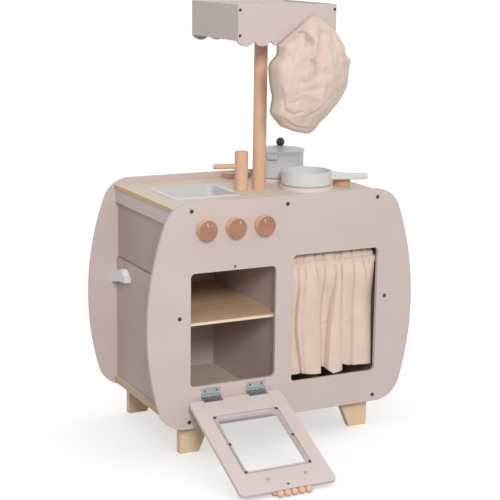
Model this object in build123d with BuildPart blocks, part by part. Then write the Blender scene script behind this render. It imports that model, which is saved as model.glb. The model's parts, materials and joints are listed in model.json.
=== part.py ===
"""Wooden toy kitchen with an oven door, a curtained cupboard, a sink, a hob and a hood on a post.

Millimetres. X runs to the right, Y to the back and Z up.
The origin is on the floor, under the cabinet's middle.
"""
import os
from math import cos, pi, radians, sin

from build123d import *

os.makedirs("parts", exist_ok=True)

# Clearances
screw_clearance = 0.1
running_fit = 0.06
seat_gap = 0.3
drop_in_gap = 0.8

# Front and rear panel
cabinet_depth = 358.0
panel_thickness = 9.0
panel_half_width = 325.0
panel_side_radius = 642.0
panel_widest_height = 292.5
panel_corner_radius = 65.0
panel_top = 560.0
panel_bottom = 67.0
panel_edge_radius = 1.2

# Openings in the front panel
opening_corner_radius = 10.0
oven_x = -125.5
oven_width = 202.0
oven_bottom = 159.5
oven_height = 248.5
cupboard_x = 124.8
cupboard_width = 215.0
cupboard_bottom = 140.0
cupboard_height = 287.0

# Boards between the panels
board_thickness = 9.0
worktop_lip = 13.5
worktop_half_length = 262.0
bottom_thickness = 15.0
foot_height = 75.0
lower_side_inset = 5.0
lower_side_height = 287.0
upper_side_inset = 9.0
side_gap = 2.0
rail_height = 31.5
rail_thickness = 6.5
divider_x = -3.5
shelf_rise = 201.0
shelf_thickness = 6.0
shelf_setback = 5.0

# Feet
foot_depth = 18.0
foot_sole = 45.0
foot_slant = 32.0
foot_outer_x = 235.7
front_foot_setback = 25.0
rear_foot_setback = 3.0

# Panel screws
screw_radius = 2.0
screw_head_radius = 4.5
screw_head_height = 1.6
screw_length = 32.0
worktop_screw_spread = 226.0
bottom_screw_spread = 229.3
side_screw_rise = 224.0

# Front knobs
knob_row_x = -126.8
knob_spacing = 68.2
knob_drop = 58.6
knob_radius = 21.5
knob_length = 18.0
knob_edge_radius = 2.0
bolt_radius = 3.0
bolt_grip = 12.0
bolt_head_radius = 6.5
bolt_head_height = 4.0

# Oven door and its hinges
door_tilt = 24.4
door_width = 220.0
door_length = 282.0
door_corner_radius = 11.0
door_edge_radius = 1.2
hinge_z = 137.0
hinge_spread = 54.0
hinge_width = 45.0
knuckle_count = 5
knuckle_radius = 2.3
knuckle_gap = 0.3
knuckle_clear = 0.1
pin_radius = 1.1
pin_head_radius = 1.9
pin_head_height = 0.8
leaf_thickness = 1.2
leaf_length = 17.0
door_edge_offset = 9.0

# Window pane in the door
window_width = 140.0
window_length = 158.0
window_start = 61.0
window_corner_radius = 9.0
pane_overlap = 7.0
pane_thickness = 2.0
pane_screw_inset = 3.5
pane_screw_radius = 1.3
pane_screw_length = 7.0
pane_screw_head_radius = 3.0
pane_screw_head_height = 1.2

# Door catch
catch_from_far_edge = 11.0
catch_radius = 4.5
catch_stem_radius = 2.5
catch_plate_thickness = 1.2
catch_air = 0.4

# Bead handle: cord points of the right half as (across, along the door, outward), the left half is mirrored
handle_shift = 7.0
cord_radius = 1.5
cord_hole_radius = 2.4
cord_hole_from_far_edge = 32.0
cord_hole_spread = 43.0
knot_radius = 3.4
bead_radius = 7.8
bead_count = 5
bead_spacing = 16.2
bead_edge_gap = 0.2
bead_panel_gap = 0.6
cord_slack = (
    (43.4, 264.0, 15.2),
    (44.0, 275.0, 16.6),
    (44.6, 286.0, 16.0),
    (44.4, 293.5, 12.8),
    (41.6, 298.2, 8.0),
)

# Sink
sink_x = -134.2
sink_y = 6.0
sink_width = 167.0
sink_length = 154.0
sink_corner_radius = 20.0
sink_rim = 9.0
sink_rim_height = 2.0
sink_depth = 60.0
sink_wall = 2.5
sink_draft = 4.0
sink_floor_radius = 8.0

# Tap
tap_x = -27.0
tap_y = -7.3
tap_radius = 15.0
tap_height = 87.5
tap_edge_radius = 2.0
spout_radius = 5.8
spout_reach = 64.0
spout_rise = 54.0
spout_heading = 169.0

# Small turning handles behind the tap, and the hob knob
tap_handle_first_x = 24.0
tap_handle_spacing = 36.0
tap_handle_from_rear = 18.0
tap_handle_radius = 16.5
tap_handle_height = 12.0
hob_knob_x = 215.7
hob_knob_y = -38.7
hob_knob_radius = 20.0
hob_knob_height = 19.0
stem_radius = 4.0
stem_reach = 6.0

# Hob plates, pot and pan
plate_x = 119.5
plate_front_y = -44.0
plate_spacing = 128.0
plate_radius = 60.0
plate_thickness = 9.0
plate_edge_radius = 2.0
pot_radius = 55.0
pot_height = 61.0
pot_wall = 3.0
pot_edge_radius = 5.0
lug_heading = 45.0
lug_width = 26.0
lug_reach = 10.0
lug_thickness = 12.5
lug_drop = 2.0
lug_edge_radius = 3.0
lid_overhang = 2.0
lid_edge = 3.0
lid_dome = 11.0
lid_bulge = 2.5
lid_lip = 5.0
lid_lip_gap = 0.6
lid_flat_radius = 9.0
lid_knob_radius = 10.0
lid_knob_neck = 5.0
pan_radius = 57.0
pan_height = 32.5
pan_wall = 3.0
pan_edge_radius = 6.0
handle_heading = -17.0
handle_reach = 142.0
handle_root_width = 15.0
handle_tip_width = 20.0
handle_thickness = 13.5
handle_root_thickness = 21.0
handle_waist = 90.0
handle_waist_thickness = 15.0
handle_root_depth = 2.0
handle_rise = 10.5
handle_edge_radius = 3.0

# Post and hood
post_x = 17.0
post_y = -9.5
post_radius = 15.0
hood_shift_x = 3.5
hood_width = 236.5
hood_depth = 234.0
hood_top = 961.5
hood_height = 76.0
hood_wall = 9.0
hood_inset = 3.0
hood_edge_radius = 1.0
scallop_count = 6
scallop_drop = 11.5
hood_screw_radius = 1.5
hood_screw_head_radius = 3.3
hood_screw_head_height = 1.2
hood_screw_length = 28.0
hood_screw_margin = 11.5

# Hat peg and hat
peg_shift_x = 57.5
peg_drop = 49.5
peg_radius = 5.0
peg_length = 20.0
hat_above_peg = 19.0
hat_height = 250.0
hat_width = 195.0
hat_depth = 64.0
hat_lean = 26.0
hat_fullness = 0.57
hat_sections = 9
hat_lift = 60.0
fold_left = 0.34
fold_right = 0.68
fold_drift = 0.12
fold_depth = 0.78
fold_fade = 0.18
fold_bulge = 0.16

# Side hook
hook_width = 14.0
hook_length = 86.0
hook_rise = 228.0
hook_base_height = 30.0
hook_crest_from_base = 58.0
hook_crest_rise = 13.0
hook_tip_rise = 16.0
hook_tip_height = 12.0

# Curtain and its rod
rod_radius = 4.0
rod_z = 398.0
rod_setback = 12.0
bracket_radius = 9.0
bracket_thickness = 6.0
socket_depth = 4.0
curtain_overlap = 4.0
curtain_folds = 8
curtain_cloth = 4.0
curtain_header = 26.0
curtain_channel = 5.0
curtain_channel_wall = 2.0
curtain_rod_gap = 0.3
curtain_drop = 251.0
fold_at_header = 3.0
fold_at_channel = 1.2
fold_at_hem = 4.2

# Places that follow from the sizes above
front_y = -cabinet_depth / 2
rear_y = cabinet_depth / 2
front_inner_y = front_y + panel_thickness
rear_inner_y = rear_y - panel_thickness
inner_depth = rear_inner_y - front_inner_y
worktop_top = panel_top - worktop_lip
worktop_base = worktop_top - board_thickness
bottom_top = foot_height + bottom_thickness
lower_side_outer = worktop_half_length - lower_side_inset
lower_side_inner = lower_side_outer - board_thickness
lower_side_top = bottom_top + lower_side_height
upper_side_outer = worktop_half_length - upper_side_inset
upper_side_inner = upper_side_outer - board_thickness
divider_left = divider_x - board_thickness / 2
divider_right = divider_x + board_thickness / 2
knob_z = panel_top - knob_drop
knob_places = [(knob_row_x + i * knob_spacing, knob_z) for i in (-1, 0, 1)]
plate_top = worktop_top + plate_thickness
plate_rear_y = plate_front_y + plate_spacing

worktop_middle = worktop_top - board_thickness / 2
side_middle = lower_side_outer - board_thickness / 2
screw_places = [(s * worktop_screw_spread, worktop_middle) for s in (-1, 0, 1)]
side_screw_places = [(s * side_middle, bottom_top + side_screw_rise) for s in (-1, 1)]
bottom_screw_places = [(s * bottom_screw_spread, foot_height + bottom_thickness / 2) for s in (-1, 1)]
panel_screw_places = screw_places + side_screw_places + bottom_screw_places

# The hinge axis runs along X; door sizes count from it along the open door, and outward from it
hinge_offset = knuckle_radius + knuckle_clear
hinge_y = front_y - hinge_offset
tilt = radians(door_tilt)
door_along = Vector(0, -cos(tilt), -sin(tilt))
door_outward = Vector(0, sin(tilt), -cos(tilt))
door_plane = Plane(origin=(oven_x, hinge_y, hinge_z), x_dir=(1, 0, 0), z_dir=door_outward)
door_inner = door_plane.offset(hinge_offset)
door_middle = door_edge_offset + door_length / 2
door_end = door_edge_offset + door_length
hinge_places = [-hinge_spread, hinge_spread]
knuckle_pitch = hinge_width / knuckle_count
knuckle_length = knuckle_pitch - knuckle_gap
leaf_start = knuckle_radius + knuckle_gap
catch_along = door_end - catch_from_far_edge
window_middle = door_edge_offset + window_start + window_length / 2
pane_width = window_width + 2 * pane_overlap
pane_length = window_length + 2 * pane_overlap
pane_screw_x = pane_width / 2 - pane_screw_inset
pane_screw_y = pane_length / 2 - pane_screw_inset
pane_screw_rows = [window_middle + s * pane_screw_y for s in (-1, 0, 1)]
pane_screw_places = [(s * pane_screw_x, row) for s in (-1, 1) for row in pane_screw_rows]
cord_hole_along = door_end - cord_hole_from_far_edge
cord_hole_places = [(handle_shift + s * cord_hole_spread, cord_hole_along) for s in (-1, 1)]

hood_x = post_x + hood_shift_x
hood_front_y = post_y - hood_depth / 2
hood_rear_y = post_y + hood_depth / 2
hood_base = hood_top - hood_height
hood_left = hood_x - hood_width / 2
hood_right = hood_x + hood_width / 2
hood_board_top = hood_top - hood_inset
hood_board_base = hood_board_top - hood_wall
hood_screw_x = hood_width / 2 - hood_wall / 2
hood_screw_heights = [hood_base + hood_screw_margin, hood_top - hood_screw_margin]
hood_screw_places = [(hood_x + s * hood_screw_x, z) for s in (-1, 1) for z in hood_screw_heights]


def save(piece, name):
    """Label a finished piece and write its STEP file."""
    piece.part.label = name
    export_step(piece.part, f"parts/{name}.step")


def facing_front(y):
    """Sketch plane at depth y: sketch x is X, sketch y is Z, and a positive extrusion comes forward."""
    return Plane.XZ.offset(-y)


def barrel_outline():
    """Outline of both panels: flat top and bottom, two large side arcs, round corners."""
    with BuildSketch() as outline:
        with Locations((0, (panel_top + panel_bottom) / 2)):
            Rectangle(4 * panel_half_width, panel_top - panel_bottom)
        for side in (-1, 1):
            with Locations((side * (panel_half_width - panel_side_radius), panel_widest_height)):
                Circle(panel_side_radius, mode=Mode.INTERSECT)
        fillet(outline.vertices(), panel_corner_radius)
    return outline.sketch_local


def screw_pilots(places, radius, length, front_edge, rear_edge):
    """Cut pilot holes along Y into a board's front and rear edges."""
    for edge_y in (front_edge, rear_edge):
        with Locations(*[(x, edge_y, z) for x, z in places]):
            Cylinder(radius, 2 * length, rotation=(90, 0, 0), mode=Mode.SUBTRACT)


def panel_pilots(places):
    """Pilot holes for the screws that hold a board between the front and rear panel."""
    pilot_length = screw_length - panel_thickness + screw_clearance
    screw_pilots(places, screw_radius + screw_clearance, pilot_length, front_inner_y, rear_inner_y)


# Front panel
with BuildPart() as front_panel:
    with BuildSketch(facing_front(front_y)):
        add(barrel_outline())
        with Locations((oven_x, oven_bottom + oven_height / 2)):
            RectangleRounded(oven_width, oven_height, opening_corner_radius, mode=Mode.SUBTRACT)
        with Locations((cupboard_x, cupboard_bottom + cupboard_height / 2)):
            RectangleRounded(cupboard_width, cupboard_height, opening_corner_radius, mode=Mode.SUBTRACT)
    extrude(amount=-panel_thickness)
    front_face = front_panel.faces().sort_by(Axis.Y)[0]
    fillet(front_face.edges(), panel_edge_radius)
    with BuildSketch(facing_front(front_y)):
        with Locations(*panel_screw_places):
            Circle(screw_radius + screw_clearance)
        with Locations(*knob_places):
            Circle(bolt_radius + running_fit)
        with Locations((oven_x, hinge_z + catch_along)):
            Circle(catch_stem_radius + screw_clearance)
    extrude(amount=-panel_thickness, mode=Mode.SUBTRACT)
save(front_panel, "front_panel")

# Rear panel
with BuildPart() as rear_panel:
    with BuildSketch(facing_front(rear_y)):
        add(barrel_outline())
    extrude(amount=panel_thickness)
    fillet(rear_panel.faces().sort_by(Axis.Y)[-1].edges(), panel_edge_radius)
    fillet(rear_panel.faces().sort_by(Axis.Y)[0].edges(), panel_edge_radius)
    with BuildSketch(facing_front(rear_y)):
        with Locations(*panel_screw_places):
            Circle(screw_radius + screw_clearance)
    extrude(amount=panel_thickness, mode=Mode.SUBTRACT)
save(rear_panel, "rear_panel")

# Worktop, with the sink cut-out and the holes for what turns or stands on it
basin_width = sink_width - 2 * sink_rim
basin_length = sink_length - 2 * sink_rim
basin_corner = sink_corner_radius - sink_rim / 2
tap_handle_y = rear_inner_y - tap_handle_from_rear
tap_handle_places = [(tap_handle_first_x + i * tap_handle_spacing, tap_handle_y) for i in (0, 1)]
with BuildPart() as worktop:
    with BuildSketch(Plane.XY.offset(worktop_base)):
        Rectangle(2 * worktop_half_length, inner_depth)
        with Locations((sink_x, sink_y)):
            RectangleRounded(
                basin_width + 2 * drop_in_gap,
                basin_length + 2 * drop_in_gap,
                basin_corner + drop_in_gap,
                mode=Mode.SUBTRACT,
            )
        with Locations((tap_x, tap_y), (post_x, post_y)):
            Circle(bolt_radius + running_fit, mode=Mode.SUBTRACT)
        with Locations(*tap_handle_places, (hob_knob_x, hob_knob_y)):
            Circle(stem_radius + running_fit, mode=Mode.SUBTRACT)
    extrude(amount=board_thickness)
    panel_pilots(screw_places)
save(worktop, "worktop")

# Bottom board
with BuildPart() as bottom_board:
    with BuildSketch(Plane.XY.offset(foot_height)):
        Rectangle(2 * worktop_half_length, inner_depth)
    extrude(amount=bottom_thickness)
    panel_pilots(bottom_screw_places)
save(bottom_board, "bottom_board")

# Divider between oven and cupboard, from the bottom board to the worktop
with BuildPart() as divider:
    with BuildSketch(Plane.YZ.offset(divider_left)):
        with Locations((0, (bottom_top + worktop_base) / 2)):
            Rectangle(inner_depth, worktop_base - bottom_top)
    extrude(amount=board_thickness)
save(divider, "divider")

# Oven shelf, between the left side and the divider
with BuildPart() as oven_shelf:
    with BuildSketch(Plane.XY.offset(bottom_top + shelf_rise)):
        with Locations(((divider_left - lower_side_inner) / 2, shelf_setback / 2)):
            Rectangle(divider_left + lower_side_inner, inner_depth - shelf_setback)
    extrude(amount=shelf_thickness)
save(oven_shelf, "oven_shelf")

# Both ends: lower side board, upper side board and the rail under the worktop's end
for side, word in ((-1, "left"), (1, "right")):
    with BuildPart() as lower_side:
        with BuildSketch(Plane.YZ.offset(side * lower_side_inner)):
            with Locations((0, (bottom_top + lower_side_top) / 2)):
                Rectangle(inner_depth, lower_side_height)
        extrude(amount=side * board_thickness)
        panel_pilots([place for place in side_screw_places if place[0] * side > 0])
    save(lower_side, f"{word}_lower_side")

    upper_side_base = lower_side_top + side_gap
    with BuildPart() as upper_side:
        with BuildSketch(Plane.YZ.offset(side * upper_side_inner)):
            with Locations((0, (upper_side_base + worktop_base) / 2)):
                Rectangle(inner_depth, worktop_base - upper_side_base)
        extrude(amount=side * board_thickness)
    save(upper_side, f"{word}_upper_side")

    with BuildPart() as rail:
        with BuildSketch(Plane.YZ.offset(side * upper_side_outer)):
            with Locations((0, worktop_base - rail_height / 2)):
                Rectangle(inner_depth, rail_height)
        extrude(amount=side * rail_thickness)
    save(rail, f"{word}_rail")

# Feet: upright outer side, slanting inner side
for end, foot_front_y in (
    ("front", front_inner_y + front_foot_setback),
    ("rear", rear_inner_y - rear_foot_setback - foot_depth),
):
    for side, word in ((-1, "left"), (1, "right")):
        with BuildPart() as foot:
            with BuildSketch(facing_front(foot_front_y)):
                with BuildLine():
                    Polyline(
                        (side * foot_outer_x, 0),
                        (side * foot_outer_x, foot_height),
                        (side * (foot_outer_x - foot_sole - foot_slant), foot_height),
                        (side * (foot_outer_x - foot_sole), 0),
                        close=True,
                    )
                make_face()
            extrude(amount=-foot_depth)
        save(foot, f"{end}_{word}_foot")

# Panel screws, front and rear
with BuildPart() as panel_screws:
    for face_y, outward in ((front_y, 1), (rear_y, -1)):
        with BuildSketch(facing_front(face_y)):
            with Locations(*panel_screw_places):
                Circle(screw_head_radius)
        extrude(amount=outward * screw_head_height)
        with BuildSketch(facing_front(face_y)):
            with Locations(*panel_screw_places):
                Circle(screw_radius)
        extrude(amount=-outward * screw_length)
save(panel_screws, "panel_screws")

# Front knobs; each turns with its bolt, whose head runs behind the panel
for word, (x, z) in zip(("left", "middle", "right"), knob_places):
    knob_back_y = front_y - seat_gap
    with BuildPart() as knob:
        with BuildSketch(facing_front(knob_back_y)):
            with Locations((x, z)):
                Circle(knob_radius)
        extrude(amount=knob_length)
        fillet(knob.faces().sort_by(Axis.Y)[0].edges(), knob_edge_radius)
        with BuildSketch(facing_front(knob_back_y)):
            with Locations((x, z)):
                Circle(bolt_radius + screw_clearance)
        extrude(amount=bolt_grip, mode=Mode.SUBTRACT)
    save(knob, f"{word}_knob")

    with BuildPart() as knob_bolt:
        with BuildSketch(facing_front(front_inner_y + seat_gap)):
            with Locations((x, z)):
                Circle(bolt_head_radius)
        extrude(amount=-bolt_head_height)
        with BuildSketch(facing_front(front_inner_y + seat_gap)):
            with Locations((x, z)):
                Circle(bolt_radius)
        extrude(amount=panel_thickness + 2 * seat_gap + bolt_grip)
    save(knob_bolt, f"{word}_knob_bolt")

# Door board, open at its tilt
with BuildPart() as door_panel:
    with BuildSketch(door_inner):
        with Locations((0, door_middle)):
            RectangleRounded(door_width, door_length, door_corner_radius)
        with Locations((0, window_middle)):
            RectangleRounded(window_width, window_length, window_corner_radius, mode=Mode.SUBTRACT)
    extrude(amount=panel_thickness)
    across = Axis((0, 0, 0), door_outward)
    fillet(door_panel.faces().sort_by(across)[0].outer_wire().edges(), door_edge_radius)
    fillet(door_panel.faces().sort_by(across)[-1].edges(), door_edge_radius)
    with BuildSketch(door_inner):
        with Locations(*cord_hole_places):
            Circle(cord_hole_radius)
    extrude(amount=panel_thickness, mode=Mode.SUBTRACT)
    with BuildSketch(door_inner):
        with Locations(*pane_screw_places):
            Circle(pane_screw_radius + screw_clearance)
    extrude(amount=pane_screw_length - pane_thickness + screw_clearance, mode=Mode.SUBTRACT)
save(door_panel, "door_panel")

# Clear pane on the door's inner face, and its screws
with BuildPart() as door_window:
    with BuildSketch(door_inner):
        with Locations((0, window_middle)):
            RectangleRounded(pane_width, pane_length, window_corner_radius)
        with Locations(*pane_screw_places):
            Circle(pane_screw_radius + screw_clearance, mode=Mode.SUBTRACT)
    extrude(amount=-pane_thickness)
save(door_window, "door_window")

with BuildPart() as window_screws:
    with BuildSketch(door_inner.offset(-pane_thickness)):
        with Locations(*pane_screw_places):
            Circle(pane_screw_head_radius)
    extrude(amount=-pane_screw_head_height)
    with BuildSketch(door_inner.offset(-pane_thickness)):
        with Locations(*pane_screw_places):
            Circle(pane_screw_radius)
    extrude(amount=pane_screw_length)
save(window_screws, "window_screws")


def knuckles(first):
    """Every second knuckle of both hinges, as solid barrels round the hinge axis."""
    offsets = [(i - (knuckle_count - 1) / 2) * knuckle_pitch for i in range(first, knuckle_count, 2)]
    return [x + offset for x in hinge_places for offset in offsets]


# Butt hinges: the fixed leaf has the odd knuckles, the door leaf those between, one pin runs through all
for first, leaf_plane, leaf_side, name in (
    (0, Plane((oven_x, front_y, hinge_z), x_dir=(1, 0, 0), z_dir=(0, -1, 0)), 1, "hinge_fixed_leaves"),
    (1, door_inner, -1, "hinge_door_leaves"),
):
    with BuildPart() as hinge_leaves:
        with BuildSketch(leaf_plane):
            with Locations(*[(x, (leaf_start + leaf_length) / 2) for x in hinge_places]):
                Rectangle(hinge_width, leaf_length - leaf_start)
            with Locations(*[(x, leaf_start / 2) for x in knuckles(first)]):
                Rectangle(knuckle_length, leaf_start)
        extrude(amount=leaf_side * leaf_thickness)
        with Locations(*[(oven_x + x, hinge_y, hinge_z) for x in knuckles(first)]):
            Cylinder(knuckle_radius, knuckle_length, rotation=(0, 90, 0))
        with Locations(*[(oven_x + x, hinge_y, hinge_z) for x in hinge_places]):
            Cylinder(pin_radius + running_fit, 2 * hinge_width, rotation=(0, 90, 0), mode=Mode.SUBTRACT)
    save(hinge_leaves, name)

with BuildPart() as hinge_pins:
    with Locations(*[(oven_x + x, hinge_y, hinge_z) for x in hinge_places]):
        Cylinder(pin_radius, hinge_width, rotation=(0, 90, 0))
    pin_end = hinge_width / 2 + pin_head_height / 2
    with Locations(*[(oven_x + x + s * pin_end, hinge_y, hinge_z) for x in hinge_places for s in (-1, 1)]):
        Cylinder(pin_head_radius, pin_head_height, rotation=(0, 90, 0))
save(hinge_pins, "hinge_pins")

# Catch: a magnet button on the front panel meets a plate on the closed door
with BuildPart() as catch_magnet:
    catch_place = (oven_x, hinge_z + catch_along)
    with BuildSketch(facing_front(front_y)):
        with Locations(catch_place):
            Circle(catch_radius)
    extrude(amount=2 * hinge_offset - catch_plate_thickness - catch_air)
    with BuildSketch(facing_front(front_y)):
        with Locations(catch_place):
            Circle(catch_stem_radius)
    extrude(amount=-panel_thickness)
save(catch_magnet, "catch_magnet")

with BuildPart() as catch_plate:
    with BuildSketch(door_inner):
        with Locations((0, catch_along)):
            Circle(catch_radius)
    extrude(amount=-catch_plate_thickness)
save(catch_plate, "catch_plate")

# Handle: a knotted cord through two holes of the door, with wooden beads threaded on it
hole_levels = [hinge_offset + level for level in (-knot_radius, panel_thickness / 2, panel_thickness)]
cord_half = [(cord_hole_spread, cord_hole_along, level) for level in hole_levels]
cord_half += list(cord_slack)
bead_along = door_end + bead_radius + bead_edge_gap
bead_out = bead_radius - hinge_offset + bead_panel_gap
bead_places = [(bead_spacing * ((bead_count - 1) / 2 - i), bead_along, bead_out) for i in range(bead_count)]
cord_places = cord_half + bead_places + [(-x, along, out) for x, along, out in reversed(cord_half)]


def on_door(place):
    """Point of the handle, given across, along and outward on the door."""
    return door_plane.from_local_coords(Vector(*place) + Vector(handle_shift, 0, 0))


cord_points = [on_door(place) for place in cord_places]
bead_points = [on_door(place) for place in bead_places]

with BuildPart() as handle_cord:
    with BuildLine() as cord_path:
        Spline(*cord_points)
    with BuildSketch(Plane(origin=cord_path.line @ 0, z_dir=cord_path.line % 0)):
        Circle(cord_radius)
    sweep(path=cord_path.line)
    with Locations(cord_points[0], cord_points[-1]):
        Sphere(knot_radius)
save(handle_cord, "handle_cord")

with BuildPart() as handle_beads:
    with Locations(*bead_points):
        Sphere(bead_radius, rotation=(0, 0, -90))
    with BuildSketch(Plane(origin=cord_path.line @ 0, z_dir=cord_path.line % 0)):
        Circle(cord_radius + seat_gap)
    sweep(path=cord_path.line, mode=Mode.SUBTRACT)
save(handle_beads, "handle_beads")

# Sink basin, hanging by its rim in the worktop
with BuildPart() as sink_basin:
    with BuildSketch(Plane.XY.offset(worktop_top)):
        with Locations((sink_x, sink_y)):
            RectangleRounded(sink_width, sink_length, sink_corner_radius)
    extrude(amount=sink_rim_height)
    with BuildSketch(Plane.XY.offset(worktop_top)):
        with Locations((sink_x, sink_y)):
            RectangleRounded(basin_width, basin_length, basin_corner)
    extrude(amount=-sink_depth, taper=sink_draft)
    with BuildSketch(Plane.XY.offset(worktop_top + sink_rim_height)):
        with Locations((sink_x, sink_y)):
            RectangleRounded(
                basin_width - 2 * sink_wall,
                basin_length - 2 * sink_wall,
                basin_corner - sink_wall,
            )
    extrude(amount=-(sink_rim_height + sink_depth - sink_wall), taper=sink_draft, mode=Mode.SUBTRACT)
    basin_floor = sink_basin.faces().filter_by(Axis.Z).sort_by(Axis.Z)[1]
    fillet(basin_floor.edges(), sink_floor_radius)
save(sink_basin, "sink_basin")

# Tap: a column that swivels on its bolt, with a dowel spout
spout_plane = Plane(
    origin=(tap_x, tap_y, worktop_top + spout_rise),
    z_dir=(cos(radians(spout_heading)), sin(radians(spout_heading)), 0),
)
with BuildPart() as tap_column:
    with BuildSketch(Plane.XY.offset(worktop_top + seat_gap)):
        with Locations((tap_x, tap_y)):
            Circle(tap_radius)
    extrude(amount=tap_height - seat_gap)
    fillet(tap_column.faces().sort_by(Axis.Z)[-1].edges(), tap_edge_radius)
    with BuildSketch(spout_plane):
        Circle(spout_radius + screw_clearance)
    extrude(amount=2 * tap_radius, mode=Mode.SUBTRACT)
    with BuildSketch(Plane.XY.offset(worktop_top)):
        with Locations((tap_x, tap_y)):
            Circle(bolt_radius + screw_clearance)
    extrude(amount=bolt_grip + seat_gap, mode=Mode.SUBTRACT)
save(tap_column, "tap_column")

with BuildPart() as tap_spout:
    with BuildSketch(spout_plane):
        Circle(spout_radius)
    extrude(amount=spout_reach)
    fillet(tap_spout.edges().sort_by_distance(spout_plane.origin)[-1], tap_edge_radius / 2)
save(tap_spout, "tap_spout")

# Bolts from below the worktop into the tap column and into the post
for name, x, y, gap in (("tap_bolt", tap_x, tap_y, seat_gap), ("post_bolt", post_x, post_y, 0)):
    with BuildPart() as stand_bolt:
        with BuildSketch(Plane.XY.offset(worktop_base - gap)):
            with Locations((x, y)):
                Circle(bolt_head_radius)
        extrude(amount=-bolt_head_height)
        with BuildSketch(Plane.XY.offset(worktop_base - gap)):
            with Locations((x, y)):
                Circle(bolt_radius)
        extrude(amount=board_thickness + 2 * gap + bolt_grip)
    save(stand_bolt, name)

# Turned knobs that stand on the worktop, each with a stem in the board
for name, (x, y), radius, height in (
    ("left_tap_handle", tap_handle_places[0], tap_handle_radius, tap_handle_height),
    ("right_tap_handle", tap_handle_places[1], tap_handle_radius, tap_handle_height),
    ("hob_knob", (hob_knob_x, hob_knob_y), hob_knob_radius, hob_knob_height),
):
    with BuildPart() as top_knob:
        with BuildSketch(Plane.XY.offset(worktop_top + seat_gap)):
            with Locations((x, y)):
                Circle(radius)
        extrude(amount=height - seat_gap)
        fillet(top_knob.faces().sort_by(Axis.Z)[-1].edges(), knob_edge_radius)
        with BuildSketch(Plane.XY.offset(worktop_top + seat_gap)):
            with Locations((x, y)):
                Circle(stem_radius)
        extrude(amount=-(board_thickness + seat_gap + stem_reach))
    save(top_knob, name)

# Hob plates
for name, y in (("front_hob_plate", plate_front_y), ("rear_hob_plate", plate_rear_y)):
    with BuildPart() as hob_plate:
        with BuildSketch(Plane.XY.offset(worktop_top)):
            with Locations((plate_x, y)):
                Circle(plate_radius)
        extrude(amount=plate_thickness)
        fillet(hob_plate.faces().sort_by(Axis.Z)[-1].edges(), plate_edge_radius)
    save(hob_plate, name)

# Pot with two lugs, on the rear plate
with BuildPart() as pot:
    with BuildSketch(Plane.XY.offset(plate_top + pot_height - lug_drop)):
        with Locations((plate_x, plate_rear_y)):
            with PolarLocations(pot_radius, 2, start_angle=lug_heading):
                RectangleRounded(2 * lug_reach, lug_width, lug_reach / 2)
    extrude(amount=-lug_thickness)
    fillet(pot.faces().filter_by(Axis.Z).edges(), lug_edge_radius)
    with BuildSketch(Plane.XY.offset(plate_top)):
        with Locations((plate_x, plate_rear_y)):
            Circle(pot_radius)
    extrude(amount=pot_height)
    fillet(pot.faces().sort_by(Axis.Z)[0].edges(), pot_edge_radius)
    with BuildSketch(Plane.XY.offset(plate_top + pot_height)):
        with Locations((plate_x, plate_rear_y)):
            Circle(pot_radius - pot_wall)
    extrude(amount=-(pot_height - pot_wall), mode=Mode.SUBTRACT)
save(pot, "pot")

# Pot lid: a domed disc with a lip that drops into the pot, and a ball knob on its flat middle
lid_plane = Plane(origin=(plate_x, plate_rear_y, plate_top + pot_height), x_dir=(1, 0, 0), z_dir=(0, -1, 0))
lid_axis = Axis((plate_x, plate_rear_y, 0), (0, 0, 1))
lid_radius = pot_radius + lid_overhang
lip_radius = pot_radius - pot_wall - lid_lip_gap
with BuildPart() as pot_lid:
    with BuildSketch(lid_plane):
        with BuildLine():
            Polyline(
                (0, lid_dome),
                (0, 0),
                (lip_radius - pot_wall, 0),
                (lip_radius - pot_wall, -lid_lip),
                (lip_radius, -lid_lip),
                (lip_radius, 0),
                (lid_radius, 0),
                (lid_radius, lid_edge),
            )
            SagittaArc((lid_radius, lid_edge), (lid_flat_radius, lid_dome), lid_bulge)
            Line((lid_flat_radius, lid_dome), (0, lid_dome))
        make_face()
    revolve(axis=lid_axis)
save(pot_lid, "pot_lid")

ball_middle = lid_dome + (lid_knob_radius**2 - lid_knob_neck**2) ** 0.5
ball_top = ball_middle + lid_knob_radius
with BuildPart() as lid_knob:
    with BuildSketch(lid_plane):
        with BuildLine():
            Polyline((0, ball_top), (0, lid_dome), (lid_knob_neck, lid_dome))
            ThreePointArc((lid_knob_neck, lid_dome), (lid_knob_radius, ball_middle), (0, ball_top))
        make_face()
    revolve(axis=lid_axis)
save(lid_knob, "lid_knob")

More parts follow.
